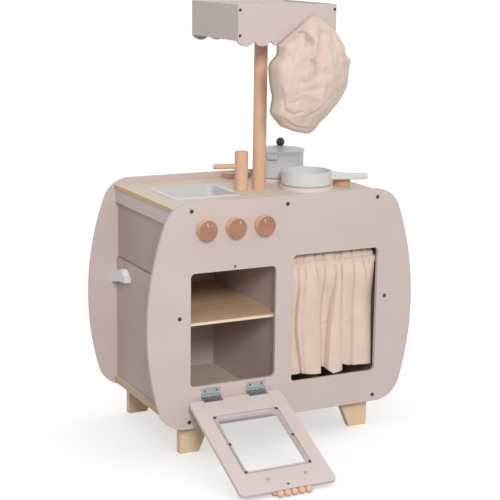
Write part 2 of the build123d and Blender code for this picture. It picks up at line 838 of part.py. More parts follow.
# Pan with its handle, on the front plate: the handle is cut to a hollow line on top, tallest at the wall
heading = radians(handle_heading)
handle_plane = Plane(
    origin=(plate_x, plate_front_y, plate_top + handle_rise),
    x_dir=(cos(heading), sin(heading), 0),
    z_dir=(0, 0, 1),
)
handle_side = Plane(
    origin=handle_plane.origin,
    x_dir=handle_plane.x_dir,
    z_dir=(sin(heading), -cos(heading), 0),
)
handle_root = pan_radius - pan_wall - handle_root_depth
with BuildPart() as pan:
    with BuildSketch(handle_plane):
        with BuildLine():
            Polyline(
                (handle_root, handle_root_width / 2),
                (handle_root, -handle_root_width / 2),
                (handle_reach, -handle_tip_width / 2),
                (handle_reach, handle_tip_width / 2),
                close=True,
            )
        make_face()
    extrude(amount=handle_root_thickness)
    fillet(pan.edges().filter_by(Axis.Z).sort_by_distance(handle_plane.origin)[-2:], handle_tip_width / 3)
    with BuildSketch(handle_side):
        with BuildLine():
            ThreePointArc(
                (handle_root, handle_root_thickness),
                (handle_waist, handle_waist_thickness),
                (handle_reach, handle_thickness),
            )
            Polyline(
                (handle_reach, handle_thickness),
                (handle_reach, 2 * handle_root_thickness),
                (handle_root, 2 * handle_root_thickness),
                (handle_root, handle_root_thickness),
            )
        make_face()
    extrude(amount=handle_tip_width, both=True, mode=Mode.SUBTRACT)
    fillet(pan.faces().sort_by(Axis.Z)[0].edges(), handle_edge_radius)
    fillet(pan.faces().sort_by(Axis.Z)[-1].edges(), handle_edge_radius)
    with BuildSketch(Plane.XY.offset(plate_top)):
        with Locations((plate_x, plate_front_y)):
            Circle(pan_radius)
    extrude(amount=pan_height)
    fillet(pan.faces().sort_by(Axis.Z)[0].edges(), pan_edge_radius)
    with BuildSketch(Plane.XY.offset(plate_top + pan_height)):
        with Locations((plate_x, plate_front_y)):
            Circle(pan_radius - pan_wall)
    extrude(amount=-(pan_height - pan_wall), mode=Mode.SUBTRACT)
save(pan, "pan")

# Post from the worktop to the hood's top board
with BuildPart() as post:
    with BuildSketch(Plane.XY.offset(worktop_top)):
        with Locations((post_x, post_y)):
            Circle(post_radius)
    extrude(amount=hood_board_base - worktop_top)
    with BuildSketch(Plane.XY.offset(worktop_top)):
        with Locations((post_x, post_y)):
            Circle(bolt_radius + screw_clearance)
    extrude(amount=bolt_grip, mode=Mode.SUBTRACT)
    with BuildSketch(Plane.XY.offset(hood_board_base)):
        with Locations((post_x, post_y)):
            Circle(hood_screw_radius + screw_clearance)
    extrude(amount=-hood_screw_length, mode=Mode.SUBTRACT)
save(post, "post")

# Hood front and rear: scalloped lower edge
scallop_pitch = hood_width / scallop_count
for name, plane_y in (("hood_front", hood_front_y), ("hood_rear", hood_rear_y - hood_wall)):
    with BuildPart() as hood_face:
        with BuildSketch(facing_front(plane_y)):
            with BuildLine():
                Polyline(
                    (hood_left, hood_base),
                    (hood_left, hood_top),
                    (hood_right, hood_top),
                    (hood_right, hood_base),
                )
                for i in range(scallop_count):
                    SagittaArc(
                        (hood_left + i * scallop_pitch, hood_base),
                        (hood_left + (i + 1) * scallop_pitch, hood_base),
                        -scallop_drop,
                    )
            make_face()
        extrude(amount=-hood_wall)
        fillet(hood_face.faces().filter_by(Axis.Y).edges(), hood_edge_radius)
        with BuildSketch(facing_front(plane_y)):
            with Locations(*hood_screw_places):
                Circle(hood_screw_radius + screw_clearance)
        extrude(amount=-hood_wall, mode=Mode.SUBTRACT)
    save(hood_face, name)

# Hood sides, between front and rear
hood_inner_front = hood_front_y + hood_wall
hood_inner_rear = hood_rear_y - hood_wall
for side, word in ((-1, "left"), (1, "right")):
    with BuildPart() as hood_side:
        with BuildSketch(Plane.YZ.offset(hood_x + side * (hood_width / 2 - hood_wall))):
            with Locations((post_y, hood_base + hood_height / 2)):
                Rectangle(hood_inner_rear - hood_inner_front, hood_height)
        extrude(amount=side * hood_wall)
        places = [place for place in hood_screw_places if (place[0] - hood_x) * side > 0]
        radius = hood_screw_radius + screw_clearance
        length = hood_screw_length - hood_wall + screw_clearance
        screw_pilots(places, radius, length, hood_inner_front, hood_inner_rear)
    save(hood_side, f"hood_{word}")

# Hood top board, screwed down on the post
with BuildPart() as hood_board:
    with BuildSketch(Plane.XY.offset(hood_board_base)):
        with Locations((hood_x, post_y)):
            Rectangle(hood_width - 2 * hood_wall, hood_inner_rear - hood_inner_front)
        with Locations((post_x, post_y)):
            Circle(hood_screw_radius + screw_clearance, mode=Mode.SUBTRACT)
    extrude(amount=hood_wall)
save(hood_board, "hood_top")

with BuildPart() as hood_screws:
    for face_y, outward in ((hood_front_y, 1), (hood_rear_y, -1)):
        with BuildSketch(facing_front(face_y)):
            with Locations(*hood_screw_places):
                Circle(hood_screw_head_radius)
        extrude(amount=outward * hood_screw_head_height)
        with BuildSketch(facing_front(face_y)):
            with Locations(*hood_screw_places):
                Circle(hood_screw_radius)
        extrude(amount=-outward * hood_screw_length)
    with BuildSketch(Plane.XY.offset(hood_board_top)):
        with Locations((post_x, post_y)):
            Circle(hood_screw_head_radius)
    extrude(amount=hood_screw_head_height)
    with BuildSketch(Plane.XY.offset(hood_board_top)):
        with Locations((post_x, post_y)):
            Circle(hood_screw_radius)
    extrude(amount=-hood_screw_length)
save(hood_screws, "hood_screws")

# Peg on the hood's front, under the hat
peg_x = hood_x + peg_shift_x
peg_z = hood_top - peg_drop
with BuildPart() as hat_peg:
    with BuildSketch(facing_front(hood_front_y)):
        with Locations((peg_x, peg_z)):
            Circle(peg_radius)
    extrude(amount=peg_length)
save(hat_peg, "hat_peg")

# Cloth hat, hung over the peg: sections from top to bottom, each with two creases and a ridge between them
hat_top = peg_z + peg_radius + hat_above_peg
hat_back_y = hood_front_y - hood_screw_head_height - seat_gap
with BuildPart() as hat:
    for i in range(hat_sections):
        share = 0.02 + 0.96 * i / (hat_sections - 1)
        full = sin(pi * share) ** hat_fullness
        half = full * hat_width / 2
        deep = full * hat_depth
        middle = peg_x - hat_lean * share
        left = middle - half
        right = middle + half
        crease_y = hat_back_y - (fold_depth + fold_fade * share) * deep
        crease_left = (left + (fold_left + fold_drift * share) * 2 * half, crease_y)
        crease_right = (left + (fold_right - fold_drift * share) * 2 * half, crease_y)
        with BuildSketch(Plane.XY.offset(hat_top - share * hat_height)):
            with BuildLine():
                Line((right, hat_back_y), (left, hat_back_y))
                SagittaArc((left, hat_back_y), crease_left, -fold_bulge * 2 * half)
                SagittaArc(crease_left, crease_right, -fold_bulge * half)
                SagittaArc(crease_right, (right, hat_back_y), -fold_bulge * 2 * half)
            make_face()
    loft(ruled=True)
    slot_top = peg_z + peg_radius + seat_gap
    slot_base = peg_z - peg_radius - seat_gap - hat_lift
    with BuildSketch(facing_front(hood_front_y)):
        with Locations((peg_x, (slot_top + slot_base) / 2)):
            Rectangle(2 * (peg_radius + seat_gap), slot_top - slot_base)
    extrude(amount=peg_length + seat_gap, mode=Mode.SUBTRACT)
save(hat, "hat")

# Side hook: high at its root on the rear panel, sloping down in a wave to a blunt tip
hook_root_y = rear_inner_y
hook_base = bottom_top + hook_rise
hook_tip_y = hook_root_y - hook_length
hook_crest = (hook_root_y - hook_crest_from_base, hook_base + hook_base_height + hook_crest_rise)
hook_tip_base = hook_base + hook_tip_rise
with BuildPart() as side_hook:
    with BuildSketch(Plane.YZ.offset(-lower_side_outer - hook_width)):
        with BuildLine():
            Line((hook_root_y, hook_base), (hook_root_y, hook_base + hook_base_height))
            SagittaArc((hook_root_y, hook_base + hook_base_height), hook_crest, hook_crest_rise / 4)
            Spline(hook_crest, (hook_tip_y, hook_tip_base + hook_tip_height), tangents=((-1, 0), (-1, 0)))
            Line((hook_tip_y, hook_tip_base + hook_tip_height), (hook_tip_y, hook_tip_base))
            SagittaArc((hook_tip_y, hook_tip_base), (hook_root_y, hook_base), hook_crest_rise / 4)
        make_face()
    extrude(amount=hook_width)
save(side_hook, "side_hook")

# Curtain rod between two socket brackets in the cupboard
rod_y = front_inner_y + rod_setback
rod_sockets = [(divider_right, 1), (upper_side_inner, -1)]
rod_ends = [x + s * (bracket_thickness - socket_depth) for x, s in rod_sockets]
with BuildPart() as rod_brackets:
    for x, s in rod_sockets:
        with BuildSketch(Plane.YZ.offset(x)):
            with Locations((rod_y, rod_z)):
                Circle(bracket_radius)
        extrude(amount=s * bracket_thickness)
    with BuildSketch(Plane.YZ.offset(rod_ends[0])):
        with Locations((rod_y, rod_z)):
            Circle(rod_radius + screw_clearance)
    extrude(amount=rod_ends[1] - rod_ends[0], mode=Mode.SUBTRACT)
save(rod_brackets, "rod_brackets")

with BuildPart() as curtain_rod:
    with BuildSketch(Plane.YZ.offset(rod_ends[0])):
        with Locations((rod_y, rod_z)):
            Circle(rod_radius)
    extrude(amount=rod_ends[1] - rod_ends[0])
save(curtain_rod, "curtain_rod")

# Curtain: gathered folds that widen from the rod's channel to the hem, and a small frill above the rod
curtain_left = cupboard_x - cupboard_width / 2 - curtain_overlap
curtain_right = cupboard_x + cupboard_width / 2 + curtain_overlap
fold_chord = (curtain_right - curtain_left) / (2 * curtain_folds)
channel_half = rod_radius + curtain_rod_gap + curtain_channel_wall + fold_at_channel
curtain_levels = (
    (rod_z - rod_radius - curtain_drop + curtain_channel, curtain_cloth / 2, fold_at_hem),
    (rod_z - rod_radius - 2 * curtain_channel, curtain_cloth / 2, fold_at_header),
    (rod_z - rod_radius - curtain_channel_wall, channel_half, fold_at_channel),
    (rod_z + rod_radius + curtain_channel_wall, channel_half, fold_at_channel),
    (rod_z + curtain_header, curtain_cloth / 2, fold_at_header),
)
with BuildPart() as curtain:
    for level, half, depth in curtain_levels:
        xs = [curtain_left + i * fold_chord for i in range(2 * curtain_folds + 1)]
        with BuildSketch(Plane.XY.offset(level)):
            with BuildLine():
                for i in range(2 * curtain_folds):
                    bulge = depth if i % 2 else -depth
                    SagittaArc((xs[i], rod_y - half), (xs[i + 1], rod_y - half), bulge)
                    SagittaArc((xs[i], rod_y + half), (xs[i + 1], rod_y + half), bulge)
                for x in (curtain_left, curtain_right):
                    Line((x, rod_y - half), (x, rod_y + half))
            make_face()
    loft(ruled=True)
    with Locations(((curtain_left + curtain_right) / 2, rod_y, rod_z)):
        Cylinder(
            rod_radius + curtain_rod_gap,
            2 * (curtain_right - curtain_left),
            rotation=(0, 90, 0),
            mode=Mode.SUBTRACT,
        )
save(curtain, "curtain")
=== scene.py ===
# %% [markdown]
# # A wooden toy kitchen
# The kitchen comes in as a fixed frame: every board, knob and hinge leaf already has its real size and place.
# Blender adds what the solids leave out: finishes, folded cloth, cord, screw heads and light.

# %% Load the frame
import json
from math import cos, pi, radians, sin, tan, tau

import bmesh
import bpy
import numpy as np
from mathutils import Matrix, Vector


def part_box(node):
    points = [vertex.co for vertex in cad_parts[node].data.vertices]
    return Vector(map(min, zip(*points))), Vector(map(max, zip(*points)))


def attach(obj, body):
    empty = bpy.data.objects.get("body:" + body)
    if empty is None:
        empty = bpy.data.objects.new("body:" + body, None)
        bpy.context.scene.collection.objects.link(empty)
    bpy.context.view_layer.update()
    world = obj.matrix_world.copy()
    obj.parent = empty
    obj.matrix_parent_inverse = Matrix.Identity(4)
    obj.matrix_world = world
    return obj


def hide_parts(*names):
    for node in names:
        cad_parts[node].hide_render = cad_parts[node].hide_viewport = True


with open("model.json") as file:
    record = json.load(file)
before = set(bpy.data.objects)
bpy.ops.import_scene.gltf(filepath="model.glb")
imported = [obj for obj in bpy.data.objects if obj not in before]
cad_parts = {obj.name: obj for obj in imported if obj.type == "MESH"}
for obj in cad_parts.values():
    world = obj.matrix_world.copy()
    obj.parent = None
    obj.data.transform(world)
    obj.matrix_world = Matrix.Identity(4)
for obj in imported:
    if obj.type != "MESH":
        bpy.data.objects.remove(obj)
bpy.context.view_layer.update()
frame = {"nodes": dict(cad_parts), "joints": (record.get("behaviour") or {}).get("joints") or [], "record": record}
nodes = frame["nodes"]
scene = bpy.context.scene
mm = 0.001

# %% [markdown]
# ## The camera
# A product photograph is taken from a few metres away with a long lens, so that upright edges stay upright.
# The lens could be guessed and nudged, but a camera is only a place in metres, three angles in radians and a
# focal length, so those are written down and turned into a matrix: its columns are right, up and backwards.

# %% Set up the camera
camera_place = Vector((-1.3827, -2.7250, 1.0764))
camera_yaw = 0.470
camera_pitch = 0.2164
camera_roll = 0.0141
focal_per_width = 2.74654
sensor_width = 36.0

forward = Vector((sin(camera_yaw) * cos(camera_pitch), cos(camera_yaw) * cos(camera_pitch),
                  -sin(camera_pitch)))
level_right = Vector((cos(camera_yaw), -sin(camera_yaw), 0))
level_up = level_right.cross(forward)
right = level_right * cos(camera_roll) + level_up * sin(camera_roll)
up = level_up * cos(camera_roll) - level_right * sin(camera_roll)

camera = bpy.data.objects.new("camera", bpy.data.cameras.new("camera"))
camera.data.sensor_width = sensor_width
camera.data.lens = focal_per_width * sensor_width
camera.matrix_world = Matrix.Translation(camera_place) @ Matrix((right, up, -forward)).transposed().to_4x4()
scene.collection.objects.link(camera)
scene.camera = camera
print("camera looks along", [round(value, 3) for value in forward])

# %% [markdown]
# ## Joining nodes
# The room's light and every finish are trees of nodes. They could be wired by hand in the node editor.
# Here short functions do what comes up again and again: joining sockets, stretching a value to a new range,
# working out a sum and taking one number of a place.


# %% Helpers for node trees
def link(tree, source, target):
    """Joins an output socket to an input socket."""
    tree.links.new(source, target)


def scaled(tree, value, low, high, start=0.0):
    """Carries a value from start..1 to low..high."""
    ramp = tree.nodes.new("ShaderNodeMapRange")
    ramp.inputs["From Min"].default_value = start
    for socket, bound in (("To Min", low), ("To Max", high)):
        if isinstance(bound, bpy.types.NodeSocket):
            link(tree, bound, ramp.inputs[socket])
        else:
            ramp.inputs[socket].default_value = bound
    link(tree, value, ramp.inputs["Value"])
    return ramp.outputs["Result"]


def worked(tree, operation, *values):
    """Result of a Math node on one or two values."""
    node = tree.nodes.new("ShaderNodeMath")
    node.operation = operation
    for socket, value in zip(node.inputs, values):
        link(tree, value, socket)
    return node.outputs[0]


def part_of(tree, vector, axis):
    """One of the three numbers of a vector."""
    split = tree.nodes.new("ShaderNodeSeparateXYZ")
    link(tree, vector, split.inputs["Vector"])
    return split.outputs["XYZ".index(axis)]


print("helpers for node trees ready")

# %% [markdown]
# ## The room
# A bright white room with a lit ceiling stands round the kitchen. A ring of lamps could stand for it,
# but a pale world is softer and needs no placing. It is brighter overhead and a little dimmer on the left.
# The background is white because camera rays see a strength of 1 there,
# not because more light falls on the wood.

# %% Light the room
room_strength = 0.36
ceiling_strength = 0.82
left_share = 0.86


def seen_straight(tree):
    """A value of 1 for rays from the camera, a mirror or a pane, and 0 for the light that falls on things."""
    path = tree.nodes.new("ShaderNodeLightPath")
    seen = path.outputs["Is Camera Ray"]
    for kind in ("Is Glossy Ray", "Is Transmission Ray"):
        seen = worked(tree, "MAXIMUM", seen, path.outputs[kind])
    return seen


def room_light(tree):
    """Strength of the room by direction: it rises with the height, and falls towards the left."""
    direction = tree.nodes.new("ShaderNodeTexCoord").outputs["Generated"]
    by_height = scaled(tree, part_of(tree, direction, "Z"), room_strength, ceiling_strength)
    by_side = scaled(tree, part_of(tree, direction, "X"), left_share, 2 - left_share, -1.0)
    return worked(tree, "MULTIPLY", by_height, by_side)


scene.view_settings.view_transform = "Standard"
world = bpy.data.worlds.new("pale_room")
world.use_nodes = True
scene.world = world
room = world.node_tree.nodes["Background"]
room.inputs["Color"].default_value = (1, 1, 1, 1)
room_tree = world.node_tree
seen_or_lit = scaled(room_tree, seen_straight(room_tree), room_light(room_tree), 1.0)
link(room_tree, seen_or_lit, room.inputs["Strength"])
print("room light from", room_strength, "at the horizon to", ceiling_strength, "overhead")

# %% [markdown]
# ## The lamp
# One large lamp at the front left models the shapes. A sun lamp would give the direction, but a round area
# lamp has a real size and distance, so its shadows have soft edges. With the room, it is just strong enough
# that a colour renders about as it is written.

# %% Place the lamp
lamp_turn = radians(20)
lamp_height = radians(26)
lamp_strength = 1.72
lamp_softness = radians(14)
lamp_distance = 4.2
lamp_aim = Vector((0, -0.15, 0.40))

lamp = bpy.data.objects.new("front_lamp", bpy.data.lights.new("front_lamp", "AREA"))
lamp.data.shape = "DISK"
lamp.data.size = 2 * lamp_distance * tan(lamp_softness / 2)
lamp.data.energy = lamp_strength * pi * lamp_distance**2
lamp_from = Vector((-sin(lamp_turn) * cos(lamp_height), -cos(lamp_turn) * cos(lamp_height),
                    sin(lamp_height)))
lamp.location = lamp_aim + lamp_from * lamp_distance
lamp.rotation_euler = lamp_from.to_track_quat("Z", "Y").to_euler()
scene.collection.objects.link(lamp)
lit_things = bpy.data.collections.new("lit_by_lamp")
for piece in nodes.values():
    lit_things.objects.link(piece)
lamp.light_linking.receiver_collection = lit_things
print("lamp from", [round(value, 2) for value in lamp_from])

# %% [markdown]
# ## The floor
# The floor is a sheet of white paper that runs out of the picture. A curved backdrop would do as well,
# but then its bend shows from other sides. It takes no light from the lamp, only from the room and a glow
# that the camera alone sees, so it stays white and keeps the soft shadow under the kitchen.

# %% Lay the floor
floor_half = 30.0
floor_white = 0.80
floor_glow = 0.53

floor_mesh = bpy.data.meshes.new("floor")
floor_corners = np.array([(-1, -1, 0), (1, -1, 0), (1, 1, 0), (-1, 1, 0)]) * floor_half
floor_mesh.from_pydata(floor_corners.tolist(), [], [(0, 1, 2, 3)])
floor = bpy.data.objects.new("floor", floor_mesh)
scene.collection.objects.link(floor)
floor_paint = bpy.data.materials.new("floor_paper")
floor_paint.use_nodes = True
floor_tree = floor_paint.node_tree
floor_shader = floor_tree.nodes["Principled BSDF"]
floor_shader.inputs["Base Color"].default_value = (floor_white, floor_white, floor_white, 1)
floor_shader.inputs["Roughness"].default_value = 1.0
floor_shader.inputs["Specular IOR Level"].default_value = 0.0
floor_shader.inputs["Emission Color"].default_value = (1, 1, 1, 1)
link(floor_tree, scaled(floor_tree, seen_straight(floor_tree), 0.0, floor_glow),
     floor_shader.inputs["Emission Strength"])
floor_mesh.materials.append(floor_paint)
print("floor of", 2 * floor_half, "m, glow", floor_glow)

# %% [markdown]
# ## Helpers for finishes
# Every finish is a small node tree on the standard shader. A colour is written as it looks on a screen,
# from 0 to 255, and turned into the linear light that the renderer works with.
# Patterns read Object coordinates: pieces stand at the origin, so these are real metres and grain stays put.


# %% Small parts of a finish
# Turns that a Wave node of scale 1 makes in one unit.
waves_per_unit = 20 / tau


def screen(red, green, blue):
    """A screen colour of 0 to 255 as linear light: the usual curve of power 2.4 above its straight foot."""
    share = np.array([red, green, blue]) / 255
    light = np.where(share <= 0.04045, share / 12.92, ((share + 0.055) / 1.055) ** 2.4)
    return (*light.tolist(), 1.0)


def new_finish(name, roughness, **sockets):
    """A material with the standard shader, and the sockets that are the same all over set on it."""
    material = bpy.data.materials.new(name)
    material.use_nodes = True
    shader = material.node_tree.nodes["Principled BSDF"]
    shader.inputs["Roughness"].default_value = roughness
    for socket, value in sockets.items():
        shader.inputs[socket.replace("_", " ")].default_value = value
    return material, material.node_tree, shader


def place_of(tree, size=(1, 1, 1), turn=(0, 0, 0), kind="Object"):
    """Coordinates of the surface, turned and then stretched so that one unit is size long."""
    source = tree.nodes.new("ShaderNodeTexCoord")
    mapping = tree.nodes.new("ShaderNodeMapping")
    mapping.vector_type = "TEXTURE"
    mapping.inputs["Scale"].default_value = size
    mapping.inputs["Rotation"].default_value = turn
    link(tree, source.outputs[kind], mapping.inputs["Vector"])
    return mapping.outputs["Vector"]


def cloudy(tree, place, detail=3.0, distortion=0.0):
    """Soft noise with a value near 0.5, one cloud per unit of place."""
    noise = tree.nodes.new("ShaderNodeTexNoise")
    noise.inputs["Scale"].default_value = 1.0
    noise.inputs["Detail"].default_value = detail
    noise.inputs["Distortion"].default_value = distortion
    link(tree, place, noise.inputs["Vector"])
    return noise.outputs["Fac"]


def waved(tree, place, direction, distortion=0.0):
    """Waves along a direction, with a value from 0 to 1 and waves_per_unit turns in a unit of place."""
    wave = tree.nodes.new("ShaderNodeTexWave")
    wave.bands_direction = direction
    wave.inputs["Scale"].default_value = 1.0
    wave.inputs["Distortion"].default_value = distortion
    link(tree, place, wave.inputs["Vector"])
    return wave.outputs["Fac"]


def tinted(tree, value, low, high, colours):
    """Carries a value to two colours: the first up to low, the second from high on."""
    ramp = tree.nodes.new("ShaderNodeValToRGB")
    for stop, place, colour in zip(ramp.color_ramp.elements, (low, high), colours):
        stop.position = place
        stop.color = colour
    link(tree, value, ramp.inputs["Fac"])
    return ramp.outputs["Color"]


def mixed(tree, share, first, second):
    """Mixes two colours by a share from 0 to 1."""
    mix = tree.nodes.new("ShaderNodeMix")
    mix.data_type = "RGBA"
    for socket, value in ((0, share), (6, first), (7, second)):
        if isinstance(value, bpy.types.NodeSocket):
            link(tree, value, mix.inputs[socket])
        else:
            mix.inputs[socket].default_value = value
    return mix.outputs[2]


def bumped(tree, shader, value, depth, strength=1.0):
    """Lets a value from 0 to 1 raise the surface by depth, in metres."""
    bump = tree.nodes.new("ShaderNodeBump")
    bump.inputs["Distance"].default_value = depth
    bump.inputs["Strength"].default_value = strength
    link(tree, value, bump.inputs["Height"])
    link(tree, bump.outputs["Normal"], shader.inputs["Normal"])


def between(tree, value, low, high):
    """A share that rises smoothly from 0 at low to 1 at high."""
    ramp = tree.nodes.new("ShaderNodeMapRange")
    ramp.interpolation_type = "SMOOTHSTEP"
    ramp.inputs["From Min"].default_value = low
    ramp.inputs["From Max"].default_value = high
    link(tree, value, ramp.inputs["Value"])
    return ramp.outputs["Result"]


print("helpers for finishes ready")

# %% [markdown]
# ## Lacquer
# The panels, the hood and the door are sprayed with a satin, greyed mauve lacquer.
# One flat colour would look like plastic. Real spray has faint clouds, a fine orange-peel skin and patches
# that hands have dulled, so the colour drifts by a hair, the bump is a few microns deep and gloss changes.
# Pots and mouldings are sprayed or cast more smoothly, with a wider and flatter skin.


# %% Make the lacquers
spray_cloud = (0.16, 0.16, 0.10)
handled_patch = (0.03, 0.03, 0.05)
handled_change = 0.07


def lacquer(name, colour, darker, roughness, peel=0.7 * mm, depth=0.012 * mm):
    """Sprayed paint: a wide cloud moves the colour, a fine one makes the peel, a third the dullness."""
    material, tree, shader = new_finish(name, roughness, Specular_IOR_Level=0.38)
    wide = cloudy(tree, place_of(tree, spray_cloud), 4.0)
    link(tree, tinted(tree, wide, 0.32, 0.68, (darker, colour)), shader.inputs["Base Color"])
    bumped(tree, shader, cloudy(tree, place_of(tree, (peel, peel, peel)), 2.0), depth)
    worn = cloudy(tree, place_of(tree, handled_patch), 5.0)
    dullness = scaled(tree, worn, roughness - handled_change, roughness + handled_change)
    link(tree, dullness, shader.inputs["Roughness"])
    return material


mauve_colour = screen(207, 191, 186)
# painted light: the door's mauve is a shade lighter than the front's, for the extra light on its upturned face.
lit_door_colour = screen(216, 201, 197)
smooth_skin = {"peel": 1.0 * mm}
moulded_skin = {"peel": 1.6 * mm, "depth": 0.006 * mm}
mauve = lacquer("mauve_lacquer", mauve_colour, screen(203, 187, 182), 0.48)
pale_mauve = lacquer("pale_mauve_lacquer", screen(224, 210, 204), screen(220, 206, 199), 0.45)
pot_grey = lacquer("pot_lacquer", screen(207, 207, 207), screen(202, 202, 202), 0.36, **smooth_skin)
# painted light: the lid takes a lighter copy of the pot's grey for the light on its top.
lit_lid_grey = lacquer("lit_lid_lacquer", screen(218, 217, 216), screen(213, 212, 211), 0.36, **smooth_skin)
pan_grey = lacquer("pan_lacquer", screen(217, 218, 218), screen(212, 213, 213), 0.36, **smooth_skin)
charcoal = lacquer("charcoal_lacquer", screen(88, 87, 88), screen(80, 79, 80), 0.34, **smooth_skin)
white_moulding = lacquer("white_moulding", screen(230, 231, 231), screen(227, 228, 228), 0.32, **moulded_skin)
sink_moulding = lacquer("sink_moulding", screen(217, 215, 214), screen(213, 211, 211), 0.30, **moulded_skin)
# painted shade: the side boards take a darker copy of the mauve for the shade between the front and rear panels,
# and the upper boards one darker still.
side_shade_mauve = lacquer("side_painted_shade_lacquer", screen(190, 172, 164), screen(186, 168, 160), 0.48)
upper_shade_mauve = lacquer("upper_painted_shade_lacquer", screen(177, 159, 151), screen(173, 155, 147), 0.48)
lit_door_mauve = lacquer("lit_door_lacquer", lit_door_colour, screen(212, 197, 193), 0.46)
print("lacquers:", mauve.name, pale_mauve.name, pot_grey.name, charcoal.name)

# %% [markdown]
# ## Beech
# Post, tap, feet and beads are oiled beech. A picture of a board could be laid over them, but each piece
# would need its own layout. Noise needs none: three noises are stretched along the grain, for its wide bands,
# its thin streaks and its short dark flecks.

# %% Make the beech
oiled_roughness = 0.5
band = 160 * mm, 12 * mm
streak = 30 * mm, 1.6 * mm
fleck_mark = 6 * mm, 0.7 * mm


def stretched(axis, long, thin):
    """A size that is long on one axis and thin on the two others."""
    return tuple(long if letter == axis else thin for letter in "XYZ")


def grain(tree, axis, pale, deep, fleck, turn=(0, 0, 0)):
    """Colour of beech: wide bands along an axis, thin streaks between them and short dark flecks."""
    bands = cloudy(tree, place_of(tree, stretched(axis, *band), turn), 3.0, 0.6)
    streaks = cloudy(tree, place_of(tree, stretched(axis, *streak), turn), 2.0)
    flecks = cloudy(tree, place_of(tree, stretched(axis, *fleck_mark), turn), 1.0)
    colour = tinted(tree, bands, 0.3, 0.72, (deep, pale))
    streaked = mixed(tree, scaled(tree, streaks, 0.0, 0.5), colour, deep)
    return mixed(tree, between(tree, flecks, 0.60, 0.78), streaked, fleck), streaks


def beech(name, axis, pale, deep, fleck, turn=(0, 0, 0)):
    """Oiled beech with its grain along an axis."""
    material, tree, shader = new_finish(name, oiled_roughness, Specular_IOR_Level=0.35)
    colour, streaks = grain(tree, axis, pale, deep, fleck, turn)
    link(tree, colour, shader.inputs["Base Color"])
    bumped(tree, shader, streaks, 0.03 * mm)
    return material


beech_colours = screen(231, 192, 163), screen(218, 176, 146), screen(192, 147, 116)
upright_beech = beech("beech_upright", "Z", *beech_colours)
cross_beech = beech("beech_across", "X", *beech_colours)
spout_turn = (0, 0, radians(169))
spout_beech = beech("beech_spout", "X", *beech_colours, turn=spout_turn)
pale_beech = beech("beech_feet", "Z", screen(240, 211, 181), screen(231, 199, 167), screen(210, 174, 140))
warm_beech = beech("beech_handles", "X", screen(220, 176, 150), screen(208, 161, 134), screen(184, 135, 108))
bead_beech = beech("beech_beads", "X", screen(229, 194, 170), screen(219, 180, 153), screen(200, 158, 130))
print("beech:", upright_beech.name, cross_beech.name, pale_beech.name)

# %% [markdown]
# ## Plywood
# The worktop and the boards inside are birch plywood. Their faces show grain as beech does, but their edges
# show the glued layers as thin stripes. Edges could be faces with a material of their own. Here a normal that
# points up or down tells a face from an edge, so one material does both.

# %% Make the plywood
ply_pair = 0.9 * mm
ply_waver = 9.0 * mm


def plywood(name, axis, pale, deep, fleck, edges):
    """Birch plywood: grain on the faces, on the edges a wave along z, one turn for each pair of layers."""
    material, tree, shader = new_finish(name, oiled_roughness, Specular_IOR_Level=0.35)
    colour, streaks = grain(tree, axis, pale, deep, fleck)
    stripes = waved(tree, place_of(tree, (ply_waver, ply_waver, ply_pair * waves_per_unit)), "Z", 0.25)
    layers = tinted(tree, stripes, 0.25, 0.75, edges)
    flatness = worked(tree, "ABSOLUTE", part_of(tree, place_of(tree, kind="Normal"), "Z"))
    on_face = between(tree, flatness, 0.5, 0.9)
    link(tree, mixed(tree, on_face, layers, colour), shader.inputs["Base Color"])
    bumped(tree, shader, streaks, 0.02 * mm)
    return material


worktop_colours = screen(224, 211, 196), screen(217, 202, 186), screen(207, 190, 171)
worktop_edges = screen(222, 196, 160), screen(176, 141, 105)
worktop_ply = plywood("plywood_worktop", "X", *worktop_colours, worktop_edges)
# painted light: the shelf's ply is pinker than the worktop's and lighter still, to make up for the dim light
# inside the oven.
lit_shelf_colours = screen(245, 208, 176), screen(224, 182, 149), screen(184, 140, 107)
lit_shelf_edges = screen(243, 229, 208), screen(222, 200, 172)
lit_shelf_ply = plywood("lit_plywood_shelf", "X", *lit_shelf_colours, lit_shelf_edges)
print("plywood:", worktop_ply.name, lit_shelf_ply.name)

# %% [markdown]
# ## Knob faces
# The three cooker knobs are turned from beech and only their front face is stained brown.
# Two materials on one piece would need its faces sorted, so the stain reads how far forward a point lies.

# %% Make the stained knobs
knob_face_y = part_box("left_knob")[0].y
stain_depth = 1.4 * mm

knob_wood, tree, shader = new_finish("stained_knob", 0.42, Specular_IOR_Level=0.4)
rim_beech = screen(229, 190, 160), screen(217, 174, 142), screen(190, 143, 110)
rim_colour = grain(tree, "Y", *rim_beech)[0]
stained_beech = screen(180, 135, 110), screen(163, 116, 91), screen(138, 94, 71)
face_colour, face_streaks = grain(tree, "X", *stained_beech)
behind_face = between(tree, part_of(tree, place_of(tree), "Y"), knob_face_y + 0.6 * stain_depth,
                      knob_face_y + stain_depth)
link(tree, mixed(tree, behind_face, face_colour, rim_colour), shader.inputs["Base Color"])
bumped(tree, shader, face_streaks, 0.03 * mm)
print("knob face at y", round(knob_face_y, 4))

# %% [markdown]
# ## Metal and clear sheet
# The hinges are pressed from zinc-plated steel: bluish, blotchy and half dull. Screws are dark bronzed steel.
# Polished metal would mirror the white room and vanish, so a noise changes both colour and dullness.
# The oven window is a clear sheet. Transmission would make it glass, but a thin flat sheet hardly bends
# light, so a low alpha on a glossy surface is enough.


